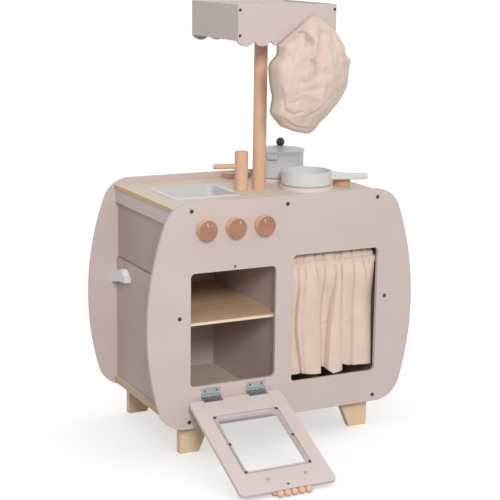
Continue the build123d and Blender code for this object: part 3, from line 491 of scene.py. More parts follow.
# %% Make the metals and the clear sheet
def metal(name, pale, dark, roughness, blotch):
    """Plated steel whose colour and dullness change from blotch to blotch."""
    material, tree, shader = new_finish(name, roughness, Metallic=1.0)
    patches = cloudy(tree, place_of(tree, (blotch, blotch, blotch)), 4.0)
    link(tree, tinted(tree, patches, 0.3, 0.7, (dark, pale)), shader.inputs["Base Color"])
    link(tree, scaled(tree, patches, roughness - 0.1, roughness + 0.12), shader.inputs["Roughness"])
    bumped(tree, shader, cloudy(tree, place_of(tree, (0.5 * mm, 0.5 * mm, 0.5 * mm)), 2.0), 0.008 * mm)
    return material


zinc = metal("zinc_plate", screen(203, 210, 211), screen(118, 128, 134), 0.32, 2.5 * mm)
worn_zinc = metal("worn_zinc", screen(126, 132, 136), screen(82, 88, 93), 0.40, 1.5 * mm)
bronzed = metal("bronzed_steel", screen(104, 92, 86), screen(70, 61, 57), 0.42, 1.5 * mm)

clear_sheet, tree, shader = new_finish("clear_sheet", 0.05, Alpha=0.10, IOR=1.49)
smears = cloudy(tree, place_of(tree, (0.05, 0.05, 0.05)), 3.0)
link(tree, tinted(tree, smears, 0.3, 0.7, (screen(228, 231, 231), screen(238, 240, 240))),
     shader.inputs["Base Color"])
link(tree, scaled(tree, smears, 0.03, 0.08), shader.inputs["Roughness"])
print("metals:", zinc.name, bronzed.name, "and", clear_sheet.name)

# %% [markdown]
# ## Cotton
# Curtain and hat are cut from the same plain-woven, slightly crumpled cotton.
# Its threads are under half a millimetre thick, so they read the cloth's own UV map, which is laid out in
# metres and follows every fold. Two waves, one for each thread direction, make the bump, and a soft cloud the
# slubs. The cord is twisted from thicker yarn, which slanting waves show.

# %% Make the cloth and cord finishes
thread = 0.45 * mm
strand = 2.2 * mm
slub = (0.03, 0.04, 1)


def cloth(name, colour, slub_and_shade):
    """Plain weave on a UV map in metres: the higher of two crossed waves is the thread on top, and painted shade
    darkens the colour between threads.
    """
    material, tree, shader = new_finish(name, 0.92, Specular_IOR_Level=0.15, Sheen_Weight=0.25,
                                        Sheen_Roughness=0.5)
    place = place_of(tree, (thread * waves_per_unit, thread * waves_per_unit, 1), kind="UV")
    top_thread = worked(tree, "MAXIMUM", waved(tree, place, "X", 0.6), waved(tree, place, "Y", 0.6))
    slubs = cloudy(tree, place_of(tree, slub, kind="UV"), 3.0)
    soft = tinted(tree, slubs, 0.3, 0.7, (slub_and_shade, colour))
    # painted shade: between the threads the colour goes a quarter of the way to the darker colour, which also
    # serves the slubs.
    thread_shade = scaled(tree, top_thread, 0.25, 0.0)
    link(tree, mixed(tree, thread_shade, soft, slub_and_shade), shader.inputs["Base Color"])
    bumped(tree, shader, top_thread, 0.06 * mm, 0.5)
    return material


curtain_cotton = cloth("curtain_cotton", screen(231, 208, 193), screen(224, 200, 184))
hat_cotton = cloth("hat_cotton", screen(225, 203, 191), screen(218, 195, 182))


def twisted(name, dark, pale):
    """Twisted twine: slanting strands across the cord, dark between and pale on top."""
    material, tree, shader = new_finish(name, 0.85, Specular_IOR_Level=0.2)
    strands = waved(tree, place_of(tree, (strand, strand, strand)), "DIAGONAL")
    link(tree, tinted(tree, strands, 0.1, 0.9, (dark, pale)), shader.inputs["Base Color"])
    bumped(tree, shader, strands, 0.25 * mm)
    return material


twine = twisted("cotton_twine", screen(150, 118, 98), screen(202, 170, 146))
pale_twine = twisted("knot_twine", screen(186, 165, 152), screen(220, 202, 190))
print("cloth:", curtain_cotton.name, hat_cotton.name, twine.name)

# %% [markdown]
# ## Dress the boards and fittings
# The frame's pieces keep their shape and only get a finish. Most follow their slot in the record;
# a few, such as the feet, the knobs and the hob plates, have one of their own. Finishes could be given piece
# by piece in the editor, but two tables keep them in one place.

# %% Give every CAD piece its finish
by_slot = {
    "mauve_paint": mauve, "plywood": worktop_ply, "beech": upright_beech, "stained_wood": warm_beech,
    "grey_paint": pot_grey, "dark_paint": charcoal, "white_plastic": white_moulding,
    "clear_pane": clear_sheet, "cotton": curtain_cotton, "cord": twine, "dark_steel": bronzed, "zinc": zinc,
}
by_piece = {
    "tap_spout": spout_beech, "curtain_rod": cross_beech, "hat_peg": cross_beech, "handle_beads": bead_beech,
    "front_hob_plate": pale_mauve, "rear_hob_plate": pale_mauve, "pan": pan_grey, "pot_lid": lit_lid_grey,
    "side_hook": white_moulding, "oven_shelf": lit_shelf_ply, "sink_basin": sink_moulding,
    "door_panel": lit_door_mauve,
}
for side in ("left", "middle", "right"):
    by_piece[f"{side}_knob"] = knob_wood
for side in ("left", "right"):
    by_piece[f"{side}_upper_side"] = upper_shade_mauve
    by_piece[f"{side}_lower_side"] = side_shade_mauve
    by_piece[f"front_{side}_foot"] = pale_beech
    by_piece[f"rear_{side}_foot"] = pale_beech
for part in frame["record"]["subparts"]:
    piece = nodes[part["node"]]
    piece.data.materials.clear()
    piece.data.materials.append(by_piece.get(part["node"], by_slot[part["material_slot"]]))

# %% [markdown]
# ## Surfaces from grids
# New pieces are surfaces worked out as whole arrays: a shape is a function of two parameters on a grid,
# and the faces join neighbours in that grid. One helper turns any number of equal grids into one mesh,
# closes the seam where a grid goes round, merges the poles and lays out a UV map in metres.


# %% Helpers for new pieces
merge_gap = 0.02 * mm
weld_step = 0.002 * mm


def added(piece, body):
    """Puts a piece into the scene and the lamp's light, on a body."""
    scene.collection.objects.link(piece)
    lit_things.objects.link(piece)
    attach(piece, body)
    return piece


def grid_piece(name, grids, finish, body, round_grid=False, uv=None, drop=None):
    """Mesh of grids of points in rows and columns: a face joins two neighbours in a row to the next row's."""
    count, rows, columns = grids.shape[:3]
    index = np.arange(count * rows * columns).reshape(count, rows, columns)
    if round_grid:
        index = np.concatenate([index, index[:, :, :1]], axis=2)
    corner = index[:, :-1, :-1], index[:, :-1, 1:], index[:, 1:, 1:], index[:, 1:, :-1]
    faces = np.stack(corner, axis=-1).reshape(-1, 4)
    points = grids.reshape(-1, 3)
    if drop is not None:
        faces = faces[~drop(points[faces].mean(axis=1))]
    used, kept = np.unique(faces, return_inverse=True)
    mesh = bpy.data.meshes.new(name)
    mesh.from_pydata(points[used].tolist(), [], kept.reshape(-1, 4).tolist())
    if uv is not None:
        layer = mesh.uv_layers.new(name="metres")
        flat = uv.reshape(-1, 2)[faces.reshape(-1)]
        layer.data.foreach_set("uv", flat.reshape(-1).astype(np.float32))
    work = bmesh.new()
    work.from_mesh(mesh)
    bmesh.ops.remove_doubles(work, verts=work.verts, dist=merge_gap)
    bmesh.ops.recalc_face_normals(work, faces=work.faces)
    work.to_mesh(mesh)
    work.free()
    mesh.polygons.foreach_set("use_smooth", np.ones(len(mesh.polygons), dtype=bool))
    mesh.materials.append(finish)
    return added(bpy.data.objects.new(name, mesh), body)


def solid_boxes(node, carried=np.asarray):
    """Lowest and highest corner of each separate solid of a CAD node: labels spread over shared corners."""
    mesh = nodes[node].data
    points = np.empty(len(mesh.vertices) * 3)
    mesh.vertices.foreach_get("co", points)
    points = points.reshape(-1, 3)
    mesh.calc_loop_triangles()
    triangles = np.empty(len(mesh.loop_triangles) * 3, dtype=int)
    mesh.loop_triangles.foreach_get("vertices", triangles)
    place, same = np.unique(np.round(points / weld_step).astype(np.int64), axis=0, return_inverse=True)
    corner = same.reshape(-1)[triangles].reshape(-1, 3)
    label = np.arange(len(place))
    while True:
        least = label[corner].min(axis=1)
        spread = label.copy()
        for i in range(3):
            np.minimum.at(spread, corner[:, i], least)
        if (spread == label).all():
            break
        label = spread
    moved = carried(place * weld_step)
    groups = [moved[label == value] for value in np.unique(label[corner])]
    return [(group.min(axis=0), group.max(axis=0)) for group in groups]


def placed(shape, places, outward, across):
    """Copies a shape, given along across, its partner and outward, to each place."""
    outward = np.array(outward) / np.linalg.norm(outward)
    across = np.array(across)
    partner = np.cross(outward, across)
    turned = shape[..., :1] * across + shape[..., 1:2] * partner + shape[..., 2:] * outward
    return np.array(places)[:, None, None, :] + turned[None]


print("helpers for pieces ready")

# %% [markdown]
# ## Screw heads
# The boards are held by button-head screws with a hexagon socket, small but easy to see as dark dots.
# A head is a profile carried round a circle: up the rim, over the dome, then down into the socket, where
# the circle turns into a hexagon. Its radius is the distance of a flat side, divided by the cosine of the
# angle from that side's middle. With four sides, the same function makes the square drive of the door's
# small screws.

# %% Make the screw heads
head_columns = 48
panel_head_radius, panel_head_height, panel_socket = 4.5 * mm, 1.6 * mm, 2.0 * mm
hood_head_radius, hood_head_height, hood_socket = 3.3 * mm, 1.2 * mm, 1.5 * mm
hood_inner_half = 50 * mm


def screw_head(radius, height, socket, sides=6):
    """Rows of (radius, height, share of polygon): rim, dome, socket edge, socket wall and its floor."""
    angle = np.linspace(0, tau, head_columns, endpoint=False)
    dome = np.linspace(0, pi / 2, 7)
    rows = [(radius, -0.25 * height, 0)]
    rows += [(radius * (0.62 + 0.38 * cos(a)), height * (0.15 + 0.85 * sin(a)), 0) for a in dome]
    rows += [(socket * 1.18, height, 0.0), (socket, 0.9 * height, 1.0), (socket * 0.97, 0.2 * height, 1.0)]
    rows += [(0.0, 0.08 * height, 1.0)]
    profile = np.array(rows)
    step = tau / sides
    polygon = cos(step / 2) / np.cos((angle % step) - step / 2)
    round_share = 1 - profile[:, 2:3]
    reach = profile[:, :1] * (round_share + profile[:, 2:3] * polygon)
    lift = np.repeat(profile[:, 1:2], head_columns, axis=1)
    return np.stack([reach * np.cos(angle), reach * np.sin(angle), lift], axis=-1)


def heads_facing(node, outward, height, choose):
    """Middle of each chosen screw's seat, found from the outer end of its solid."""
    found = []
    for low, high in solid_boxes(node):
        middle = (low + high) / 2
        if choose(middle):
            end = np.where(np.array(outward) > 0, high, low)
            seat = np.where(np.abs(outward) > 0.5, end - np.array(outward) * height, middle)
            found.append(seat)
    return found


sideways, front, rear, top = (1, 0, 0), (0, -1, 0), (0, 1, 0), (0, 0, 1)
panel_head = screw_head(panel_head_radius, panel_head_height, panel_socket)
front_seats = heads_facing("panel_screws", front, panel_head_height, lambda middle: middle[1] < 0)
rear_seats = heads_facing("panel_screws", rear, panel_head_height, lambda middle: middle[1] > 0)
panel_grids = np.concatenate([placed(panel_head, front_seats, front, sideways),
                              placed(panel_head, rear_seats, rear, sideways)])
panel_heads = grid_piece("panel_screw_heads", panel_grids, bronzed, "cabinet", True)
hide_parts("panel_screws")

hood_head = screw_head(hood_head_radius, hood_head_height, hood_socket)
hood_front_seats = heads_facing("hood_screws", front, hood_head_height,
                                lambda middle: middle[1] < -hood_inner_half)
hood_rear_seats = heads_facing("hood_screws", rear, hood_head_height,
                               lambda middle: middle[1] > hood_inner_half)
post_seat = heads_facing("hood_screws", top, hood_head_height,
                         lambda middle: abs(middle[1]) < hood_inner_half)
hood_grids = np.concatenate([placed(hood_head, hood_front_seats, front, sideways),
                             placed(hood_head, hood_rear_seats, rear, sideways)])
post_grids = placed(hood_head, post_seat, top, sideways)
grid_piece("post_screw_head", post_grids, mauve, "cabinet", True)
hood_heads = grid_piece("hood_screw_heads", hood_grids, bronzed, "cabinet", True)
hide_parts("hood_screws")
print(len(front_seats) + len(rear_seats), "panel screws,", len(hood_grids), "hood screws")

# %% [markdown]
# ## On the door
# The oven door lies open and slants, so its own small pieces are easier to place along the door than in the
# room. Two short functions carry points there and back: across the door, along it from the hinge, outward.
# The closed door stands upright, so what its hinge turns past 90 degrees is the slant.

# %% Door coordinates and its screws
hinge_joint = next(joint for joint in frame["joints"] if joint["name"] == "oven_door_hinge")
hinge_place = np.array(hinge_joint["pos_m"])
door_tilt = radians(hinge_joint["range_deg"][1] - 90)
door_along = (0, -cos(door_tilt), -sin(door_tilt))
door_outward = (0, sin(door_tilt), -cos(door_tilt))
door_axes = np.array([sideways, door_along, door_outward])


def on_door(points):
    """Points given across, along and outward on the door, carried to the room."""
    return hinge_place + np.asarray(points) @ door_axes


def from_room(points):
    """Points of the room, carried to across, along and outward on the door."""
    return (np.asarray(points) - hinge_place) @ door_axes.T


inward = -door_axes[2]
pane_head_radius, pane_head_height, pane_drive = 3.0 * mm, 1.2 * mm, 1.3 * mm
leaf_head_radius, leaf_head_height, leaf_drive = 2.7 * mm, 0.5 * mm, 1.1 * mm
leaf_thickness = 1.2 * mm
leaf_screw_side = 14 * mm
leaf_screw_edge = 6.0 * mm

pane_head = screw_head(pane_head_radius, pane_head_height, pane_drive, 4)
pane_seats = []
for low, high in solid_boxes("window_screws", from_room):
    pane_seats.append(((low[0] + high[0]) / 2, (low[1] + high[1]) / 2, low[2] + pane_head_height))
pane_grids = placed(pane_head, on_door(pane_seats), inward, sideways)
pane_heads = grid_piece("window_screw_heads", pane_grids, bronzed, "oven_door", True)
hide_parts("window_screws")

leaf_head = screw_head(leaf_head_radius, leaf_head_height, leaf_drive, 4)
leaf_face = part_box("front_panel")[0].y - leaf_thickness
fixed_seats = []
for low, high in solid_boxes("hinge_fixed_leaves"):
    for side in (-leaf_screw_side, leaf_screw_side):
        fixed_seats.append(((low[0] + high[0]) / 2 + side, leaf_face, high[2] - leaf_screw_edge))
door_seats = []
for low, high in solid_boxes("hinge_door_leaves", from_room):
    for side in (-leaf_screw_side, leaf_screw_side):
        door_seats.append(((low[0] + high[0]) / 2 + side, high[1] - leaf_screw_edge, leaf_thickness))
fixed_leaf_grids = placed(leaf_head, fixed_seats, front, sideways)
grid_piece("fixed_leaf_screws", fixed_leaf_grids, worn_zinc, "cabinet", True)
door_leaf_grids = placed(leaf_head, on_door(door_seats), inward, sideways)
grid_piece("door_leaf_screws", door_leaf_grids, worn_zinc, "oven_door", True)
print(len(pane_seats), "window screws,", len(fixed_seats) + len(door_seats), "hinge screws")

# %% [markdown]
# ## The window's edge and the catch
# The clear sheet's cut edge lies in shade and shows as a thin brown line from screw to screw.
# That is painted shade: a fine bead in brown lacquer, a circle carried round a rectangle with round corners.
# The catch is a steel button under the paint, bare only where magnet and plate have met, so its finish reads the
# distance from that point.

# %% Make the window's edge and dress the catch
edge_radius = 0.32 * mm
edge_corner = 2.0 * mm
edge_columns = 64
bare_radius = 3.2 * mm
# painted shade: a brown bead stands for the shaded edge of the window.
painted_edge_shade = lacquer("painted_edge_shade", screen(150, 124, 112), screen(134, 108, 97), 0.40)


def sheet_bead(low, high):
    """A circle of edge_radius carried round the sheet: each corner's arc is moved out to its own corner."""
    turn = np.linspace(0, tau, edge_columns, endpoint=False) + tau / (2 * edge_columns)
    bend = np.linspace(0, tau, 9)[:, None]
    half = (high - low) / 2 - edge_corner
    reach = edge_corner - edge_radius + edge_radius * np.cos(bend)
    across = (low[0] + high[0]) / 2 + np.sign(np.cos(turn)) * half[0] + reach * np.cos(turn)
    along = (low[1] + high[1]) / 2 + np.sign(np.sin(turn)) * half[1] + reach * np.sin(turn)
    return np.stack([across, along, low[2] + edge_radius * np.sin(bend) + 0 * turn], axis=-1)


def worn_bare(name, paint, steel, place):
    """Paint that has worn through to steel round a place."""
    material, tree, shader = new_finish(name, 0.45, Specular_IOR_Level=0.38)
    apart = tree.nodes.new("ShaderNodeVectorMath")
    apart.operation = "DISTANCE"
    link(tree, place_of(tree), apart.inputs[0])
    apart.inputs[1].default_value = place
    share = between(tree, apart.outputs["Value"], 0.8 * bare_radius, bare_radius)
    link(tree, mixed(tree, share, steel, paint), shader.inputs["Base Color"])
    bumped(tree, shader, cloudy(tree, place_of(tree, (mm, mm, mm)), 2.0), 0.01 * mm)
    return material


sheet_low, sheet_high = solid_boxes("door_window", from_room)[0]
edge_grid = on_door(sheet_bead(sheet_low, sheet_high))
grid_piece("pane_edge_shade", edge_grid[None], painted_edge_shade, "oven_door", True)
magnet_low, magnet_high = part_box("catch_magnet")
magnet_face = ((magnet_low.x + magnet_high.x) / 2, magnet_low.y, (magnet_low.z + magnet_high.z) / 2)
plate_low, plate_high = solid_boxes("catch_plate", from_room)[0]
plate_middle = (plate_low + plate_high) / 2
plate_face = on_door((plate_middle[0], plate_middle[1], plate_low[2]))
bare_steel = screen(84, 74, 69)
worn_button = worn_bare("worn_button", mauve_colour, bare_steel, magnet_face)
worn_plate = worn_bare("worn_plate", lit_door_colour, bare_steel, plate_face)
nodes["catch_magnet"].data.materials[0] = worn_button
nodes["catch_plate"].data.materials[0] = worn_plate
print("window sheet", [round(b - a, 4) for a, b in zip(sheet_low, sheet_high)])

# %% [markdown]
# ## Pointer lines
# A knob needs a mark that shows where it points. It could be painted by a material, but a real edge catches
# light. So it is a short white inlay, raised by a fifth of a millimetre: a pill shape whose height falls off
# at the edge, set on the face by reach and angle.

# %% Make the pointer lines
pointer_length = 8.0 * mm
pointer_width = 1.5 * mm
pointer_height = 0.25 * mm
pointer_sink = 0.05 * mm
pointer_reach = 13.0 * mm
pointer_angles = {"left": radians(100), "middle": radians(68), "right": radians(112)}


def pointer_shape():
    """Pill: a circle whose halves are moved apart, its height 1 minus the radius to the sixth."""
    angle = np.linspace(0, tau, 40, endpoint=False)
    share = np.linspace(1, 0, 9)[:, None]
    half_run = (pointer_length - pointer_width) / 2
    along = share * (np.sign(np.cos(angle)) * half_run + pointer_width / 2 * np.cos(angle))
    across = share * pointer_width / 2 * np.sin(angle)
    lift = pointer_height * (1 - share**6) + 0 * angle - pointer_sink
    return np.stack([along, across, lift], axis=-1)


for side, angle in pointer_angles.items():
    low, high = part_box(f"{side}_knob")
    away = np.array((cos(angle), 0, sin(angle)))
    middle = np.array(((low.x + high.x) / 2, low.y, (low.z + high.z) / 2)) + pointer_reach * away
    pointer_grids = placed(pointer_shape(), [middle], front, away)
    grid_piece(f"{side}_pointer", pointer_grids, white_moulding, f"{side}_dial", True)
print("pointer lines on", len(pointer_angles), "knobs")

# %% [markdown]
# ## Folds
# Curtain and hat are both made of folds. They could be sculpted, but then nobody could read or change them.
# Here a fold is a height that depends on the distance to a line, so two functions come first: one eases a
# value in and out, the other tells how far a point lies from a bent line, and on which side.


# %% Helpers for folds
def ease(value, low, high):
    """Rises from 0 at low to 1 at high with level ends: 3 t squared less 2 t cubed."""
    share = np.clip((value - low) / (high - low), 0, 1)
    return share * share * (3 - 2 * share)


def beside_line(x, z, line):
    """Distance to a bent line, positive on its left, and the share of its length at the nearest point."""
    steps = np.linalg.norm(np.diff(line, axis=0), axis=1)
    before = np.concatenate([[0], np.cumsum(steps)])
    nearest, signed, place = np.full(x.shape, np.inf), np.zeros(x.shape), np.zeros(x.shape)
    for i, (start, end) in enumerate(zip(line[:-1], line[1:])):
        run = end - start
        away_x, away_z = x - start[0], z - start[1]
        share = np.clip((away_x * run[0] + away_z * run[1]) / (run @ run), 0, 1)
        apart = np.hypot(away_x - share * run[0], away_z - share * run[1])
        closer = apart < nearest
        nearest = np.where(closer, apart, nearest)
        signed = np.where(closer, np.where(run[0] * away_z > run[1] * away_x, apart, -apart), signed)
        place = np.where(closer, (before[i] + share * steps[i]) / before[-1], place)
    return signed, place


print("helpers for folds ready")

# %% [markdown]
# ## The curtain
# A gathered curtain is one flat piece of cotton, wider than the gap, pushed together on a rod.
# It runs up the front of the rod, ends in a small frill and comes down behind the rod, so the grid's rows
# follow that path. Its folds are no regular wave: each crease is a line that wanders from the rod to the hem,
# and the cloth between two creases lies at a depth of its own. So a table holds where the creases stand at
# five heights. A simulation would find folds of its own; these are set where they hang.

# %% Sizes of the curtain
rod_low, rod_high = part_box("curtain_rod")
rod_y, rod_z = (rod_low.y + rod_high.y) / 2, (rod_low.z + rod_high.z) / 2
rod_radius = (rod_high.z - rod_low.z) / 2
frill_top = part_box("curtain")[1].z
# The heights, and how far across each crease stands at each of them.
crease_z = np.array([150, 250, 340, 395, 420]) * mm
crease_x = np.array([
    (10, 12, 13, 14, 14), (54, 38, 40, 37, 33), (60, 51, 54, 55.5, 58), (104, 99, 90, 82, 83),
    (110, 104, 105, 105, 106), (118, 123, 133, 133, 133), (159, 153, 148, 147, 152),
    (185, 184, 181, 177, 177), (236, 231, 214, 203, 201), (241, 237, 234, 233, 233),
]) * mm
# How deep each furrow is, and how far forward each fold lies, at the hem and at the rod.
furrow_hem = np.array([8.0, 1.5, 9.0, 4.0, 6.0, 10.0, 3.6, 6.0]) * mm
furrow_rod = np.array([5.2, 4.6, 5.2, 5.2, 5.2, 4.8, 4.8, 5.2]) * mm
level_hem = np.array([-3.0, 2.0, 4.0, -9.0, -9.5, 4.5, -4.5, 0.5, -10.0]) * mm
level_rod = np.array([0.2, -1.4, 1.2, -1.6, 1.2, -2.4, 0.8, 1.4, -3.4]) * mm
# Start and end of each wrinkle, its height and its width, in millimetres.
wrinkles = (
    ((102, 250), (124, 259), -1.8, 3.5), ((152, 322), (172, 262), 1.4, 4.5),
    ((60, 300), (74, 235), 1.2, 8.0), ((108, 338), (121, 300), -1.2, 4.0),
    ((196, 330), (214, 236), 1.2, 9.0), ((42, 205), (62, 222), -1.2, 5.0),
)
# The hem's height along the curtain.
hem_x = np.array([10, 54, 60, 103, 105, 117, 119, 131, 158, 160, 182, 201, 241]) * mm
hem_z = np.array([151, 149.5, 149, 145, 157, 155, 151, 142.5, 146, 158, 152, 154, 151]) * mm
crease_step = 0.9 * mm
crease_width = 1.7 * mm
belly = 0.13
belly_at_rod = 0.45
pocket_half = 9.5 * mm
pocket_blend = 0.55
pocket_room = 3.0 * mm
pocket_fold = 1.6 * mm
layer_gap = 0.7 * mm
gather_run = 8.0 * mm
gather_drift = 2
gather_height = 1.2 * mm
shoulder = 3.0 * mm
shoulder_edge = 14 * mm
frill_lean = 5.0 * mm
frill_dip = 2.5 * mm
frill_waves = 2.3
frill_start = 0.2
# Where, below the rod or above it, each of these begins and ends.
folds_open = -10 * mm, 100 * mm
gathers_end = 4 * mm, 18 * mm
shoulder_rise = 8 * mm, 24 * mm
shoulder_fall = 40 * mm, 130 * mm
lean_rise = 8 * mm, 26 * mm
rod_hold = 15 * mm, 110 * mm
curtain_thickness = 0.8 * mm
curtain_columns = 380
front_rows = 110
back_rows = 14
print("curtain on a rod of", round(2 * rod_radius / mm, 1), "mm,", len(crease_x), "crease lines")

# %% [markdown]
# ## The curtain's folds
# The depth steps softly from one fold to the next, with a furrow along each crease and a belly between them.
# At the rod the cloth is drawn into small gathers, below it stands a shoulder, and the frill leans back.


# %% Make the curtain
def wrinkle(x, z, start, end, height, width):
    """Lift beside a line: height times a bell of the distance to the line, measured in widths."""
    apart = beside_line(x, z, np.array((start, end)) * mm)[0]
    return height * mm * np.exp(-((apart / (width * mm)) ** 2))


def curtain_depth(x, z):
    """Reach of the cloth: its fold's level, less a furrow at each crease, plus a belly between creases."""
    edges = np.stack([np.interp(z, crease_z, line) for line in crease_x])
    free = ease(rod_z - z, *folds_open)
    levels = level_rod[:, None, None] + (level_hem - level_rod)[:, None, None] * free
    depth = levels[0]
    for i in range(1, len(crease_x) - 1):
        apart = x - edges[i]
        furrow = furrow_rod[i - 1] + (furrow_hem[i - 1] - furrow_rod[i - 1]) * free
        depth = depth + (levels[i] - levels[i - 1]) * (1 + np.tanh(apart / crease_step)) / 2
        depth = depth - furrow * np.exp(-((apart / crease_width) ** 2))
    fold = np.clip((x > edges[:-1]).sum(axis=0) - 1, 0, len(crease_x) - 2)[None]
    left_side = np.take_along_axis(edges, fold, 0)[0]
    right_side = np.take_along_axis(edges, fold + 1, 0)[0]
    share = np.clip((x - left_side) / (right_side - left_side), 0, 1)
    fullness = belly * (right_side - left_side) * (belly_at_rod + (1 - belly_at_rod) * free)
    depth = depth + fullness * 4 * share * (1 - share)
    return depth + sum(wrinkle(x, z, *line) for line in wrinkles)


def curtain_grid():
    """Rows follow the cloth up the front, over the frill and down behind the rod; columns run across."""
    across = np.linspace(0, 1, curtain_columns)[None, :]
    hem = np.interp(hem_x[0] + across * (hem_x[-1] - hem_x[0]), hem_x, hem_z)
    frill = frill_top - frill_dip * (0.5 + 0.5 * np.sin(tau * (frill_waves * across + frill_start)))
    rise = np.linspace(0, 1, front_rows)[:, None]
    fall = np.linspace(0, 1, back_rows)[1:, None]
    front_z = hem + rise * (frill - hem)
    back_z = frill - fall * (frill - (rod_z - pocket_half))
    z = np.concatenate([front_z, back_z])
    behind = np.concatenate([np.zeros_like(front_z), np.ones_like(back_z)])
    left_side = np.interp(z, crease_z, crease_x[0])
    right_side = np.interp(z, crease_z, crease_x[-1])
    x = left_side + across * (right_side - left_side)
    pocket = ease(pocket_half - np.abs(z - rod_z), 0, pocket_blend * pocket_half)
    depth = curtain_depth(x, z)
    depth = depth + (np.clip(depth, -pocket_fold, pocket_fold) - depth) * pocket
    below = rod_z - z
    gathers = np.abs(np.sin(pi * x / gather_run + gather_drift * np.sin(x / gather_run)))
    depth = depth - gather_height * (1 - gathers) * (1 - ease(below, *gathers_end))
    inside = ease(np.minimum(x - left_side, right_side - x), 0, shoulder_edge)
    depth = depth + shoulder * inside * ease(below, *shoulder_rise) * (1 - ease(below, *shoulder_fall))
    depth = depth - frill_lean * ease(-below, *lean_rise)
    hanging = 1 - ease(below, *rod_hold)
    round_rod = np.where((z < rod_z) & (behind < 1), np.maximum(pocket, hanging), pocket)
    out = round_rod * (rod_radius + pocket_room) + layer_gap
    y = rod_y + np.where(behind > 0, out, -out) - depth
    return np.stack([x, y, z], axis=-1)


curtain_points = curtain_grid()
row_steps = np.linalg.norm(np.diff(curtain_points, axis=1), axis=2)
column_steps = np.linalg.norm(np.diff(curtain_points, axis=0), axis=2)
thread_across = np.concatenate([[0], np.cumsum(row_steps.mean(axis=0))])
thread_along = np.concatenate([[0], np.cumsum(column_steps.mean(axis=1))])
curtain_uv = np.stack(np.meshgrid(thread_across, thread_along), axis=-1)
curtain = grid_piece("gathered_curtain", curtain_points[None], curtain_cotton, "cabinet",
                     uv=curtain_uv[None])
curtain_cloth = curtain.modifiers.new("cloth", "SOLIDIFY")
curtain_cloth.thickness = curtain_thickness
curtain_cloth.offset = 0
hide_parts("curtain")

# %% [markdown]
# ## The hat
# A soft cotton cook's hat hangs on the hood's peg by its crown, so its cloth falls in creases from that
# point. It could be pulled into shape in sculpt mode. Here every level of height is a closed loop with its
# own left, right and depth, and each fold is a bent line on the front, both set in millimetres.

# %% Sizes of the hat
peg_low, peg_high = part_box("hat_peg")
back_gap = 0.3 * mm
hat_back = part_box("hat")[1].y - back_gap
hat_thickness = 1.0 * mm
hat_rows = 165
hat_front_columns = 220
hat_back_columns = 58
# Height, left, right and depth of each level.
hat_levels = np.array([
    (686, 60, 80, 14), (690, 40, 87, 21), (695, 26, 91, 27), (701, 9, 97, 33), (712, -4, 109, 40),
    (722, -13, 121, 46), (733, -21, 132, 51), (745, -20, 143, 55), (767, -17, 158, 60), (788, -22, 169, 63),
    (812, -25, 172, 64), (836, -25, 175, 63), (842, -22, 176, 62), (848, -15, 168, 61), (857, -8, 163, 58),
    (866, -7, 160, 55), (874, -7, 157, 52), (887, 7, 148, 47), (898, 22, 140, 42), (908, 36, 131, 36),
    (918, 48, 119, 30), (926, 58, 108, 24), (932, 66, 97, 17), (936, 74, 84, 8),
]) * mm
# Points of each fold's line, then height and reach on its left, and height and reach on its right.
hat_folds = (
    (((8, 884), (18, 894), (29, 903), (38, 907), (46, 900), (50, 886), (50, 874)), 10, 10, -20, 5),
    (((47, 900), (50, 884), (48, 866), (39, 846)), 5, 8, -7, 5),
    (((76, 934), (64, 908), (59, 886), (53, 866), (42, 845)), 10, 6, 10, 6),
    (((84, 914), (72, 888), (63, 865), (57, 842), (60, 800)), -21, 10, -8, 3),
    (((34, 855), (44, 848), (57, 836)), 3, 8, -4, 9),
    (((95, 926), (113, 902), (127, 879), (142, 852)), -8, 7, 8, 9),
    (((112, 922), (128, 893), (142, 868)), -7, 6, 5, 6),
    (((107, 914), (115, 885), (121, 860)), -6, 5, -6, 8),
    (((-9, 856), (-1, 856), (8, 851)), -10, 5, -10, 7),
    (((-14, 848), (18, 843), (40, 848)), -4, 9, -4, 12),
    (((-20, 800), (-14, 776), (-9, 757), (-8, 742)), 3, 8, -8, 8),
    (((4, 780), (21, 785), (39, 786), (64, 791)), 1, 8, -1.8, 4),
    (((-8, 760), (8, 762), (21, 769), (28, 778)), 1.5, 8, -2.6, 5),
    (((-16, 752), (-6, 742), (10, 736), (34, 741)), 2, 8, -3.6, 5),
    (((30, 726), (57, 735), (78, 747), (102, 767)), 2, 10, -3.6, 6),
    (((-15, 731), (8, 715), (26, 706), (62, 700)), 2, 8, -5, 7),
    (((151, 872), (157, 846), (161, 818), (158, 790), (148, 766), (131, 744), (107, 720), (84, 702)),
     -22, 20, 3, 12),
    (((57, 850), (60, 815), (68, 775)), -7, 14, -7, 12),
    (((92, 880), (94, 840), (104, 795)), 6, 12, 6, 12),
    (((89, 868), (81, 841), (90, 809)), -5, 7, -5, 7),
    (((124, 872), (135, 820), (132, 780)), 5, 12, 5, 12),
    (((12, 806), (30, 800), (48, 806)), -3, 5, -3, 8),
    (((96, 770), (112, 756), (124, 758)), -4, 5, -4, 9),
    (((8, 872), (22, 880), (36, 876)), 3, 9, 3, 9),
    (((28, 828), (38, 806), (42, 788)), 3, 9, 3, 6),
    (((92, 800), (88, 774), (94, 752)), -4, 8, -4, 5),
)
fold_edge = 1.0 * mm
fold_end = 0.18
crumple_height = 1.4 * mm
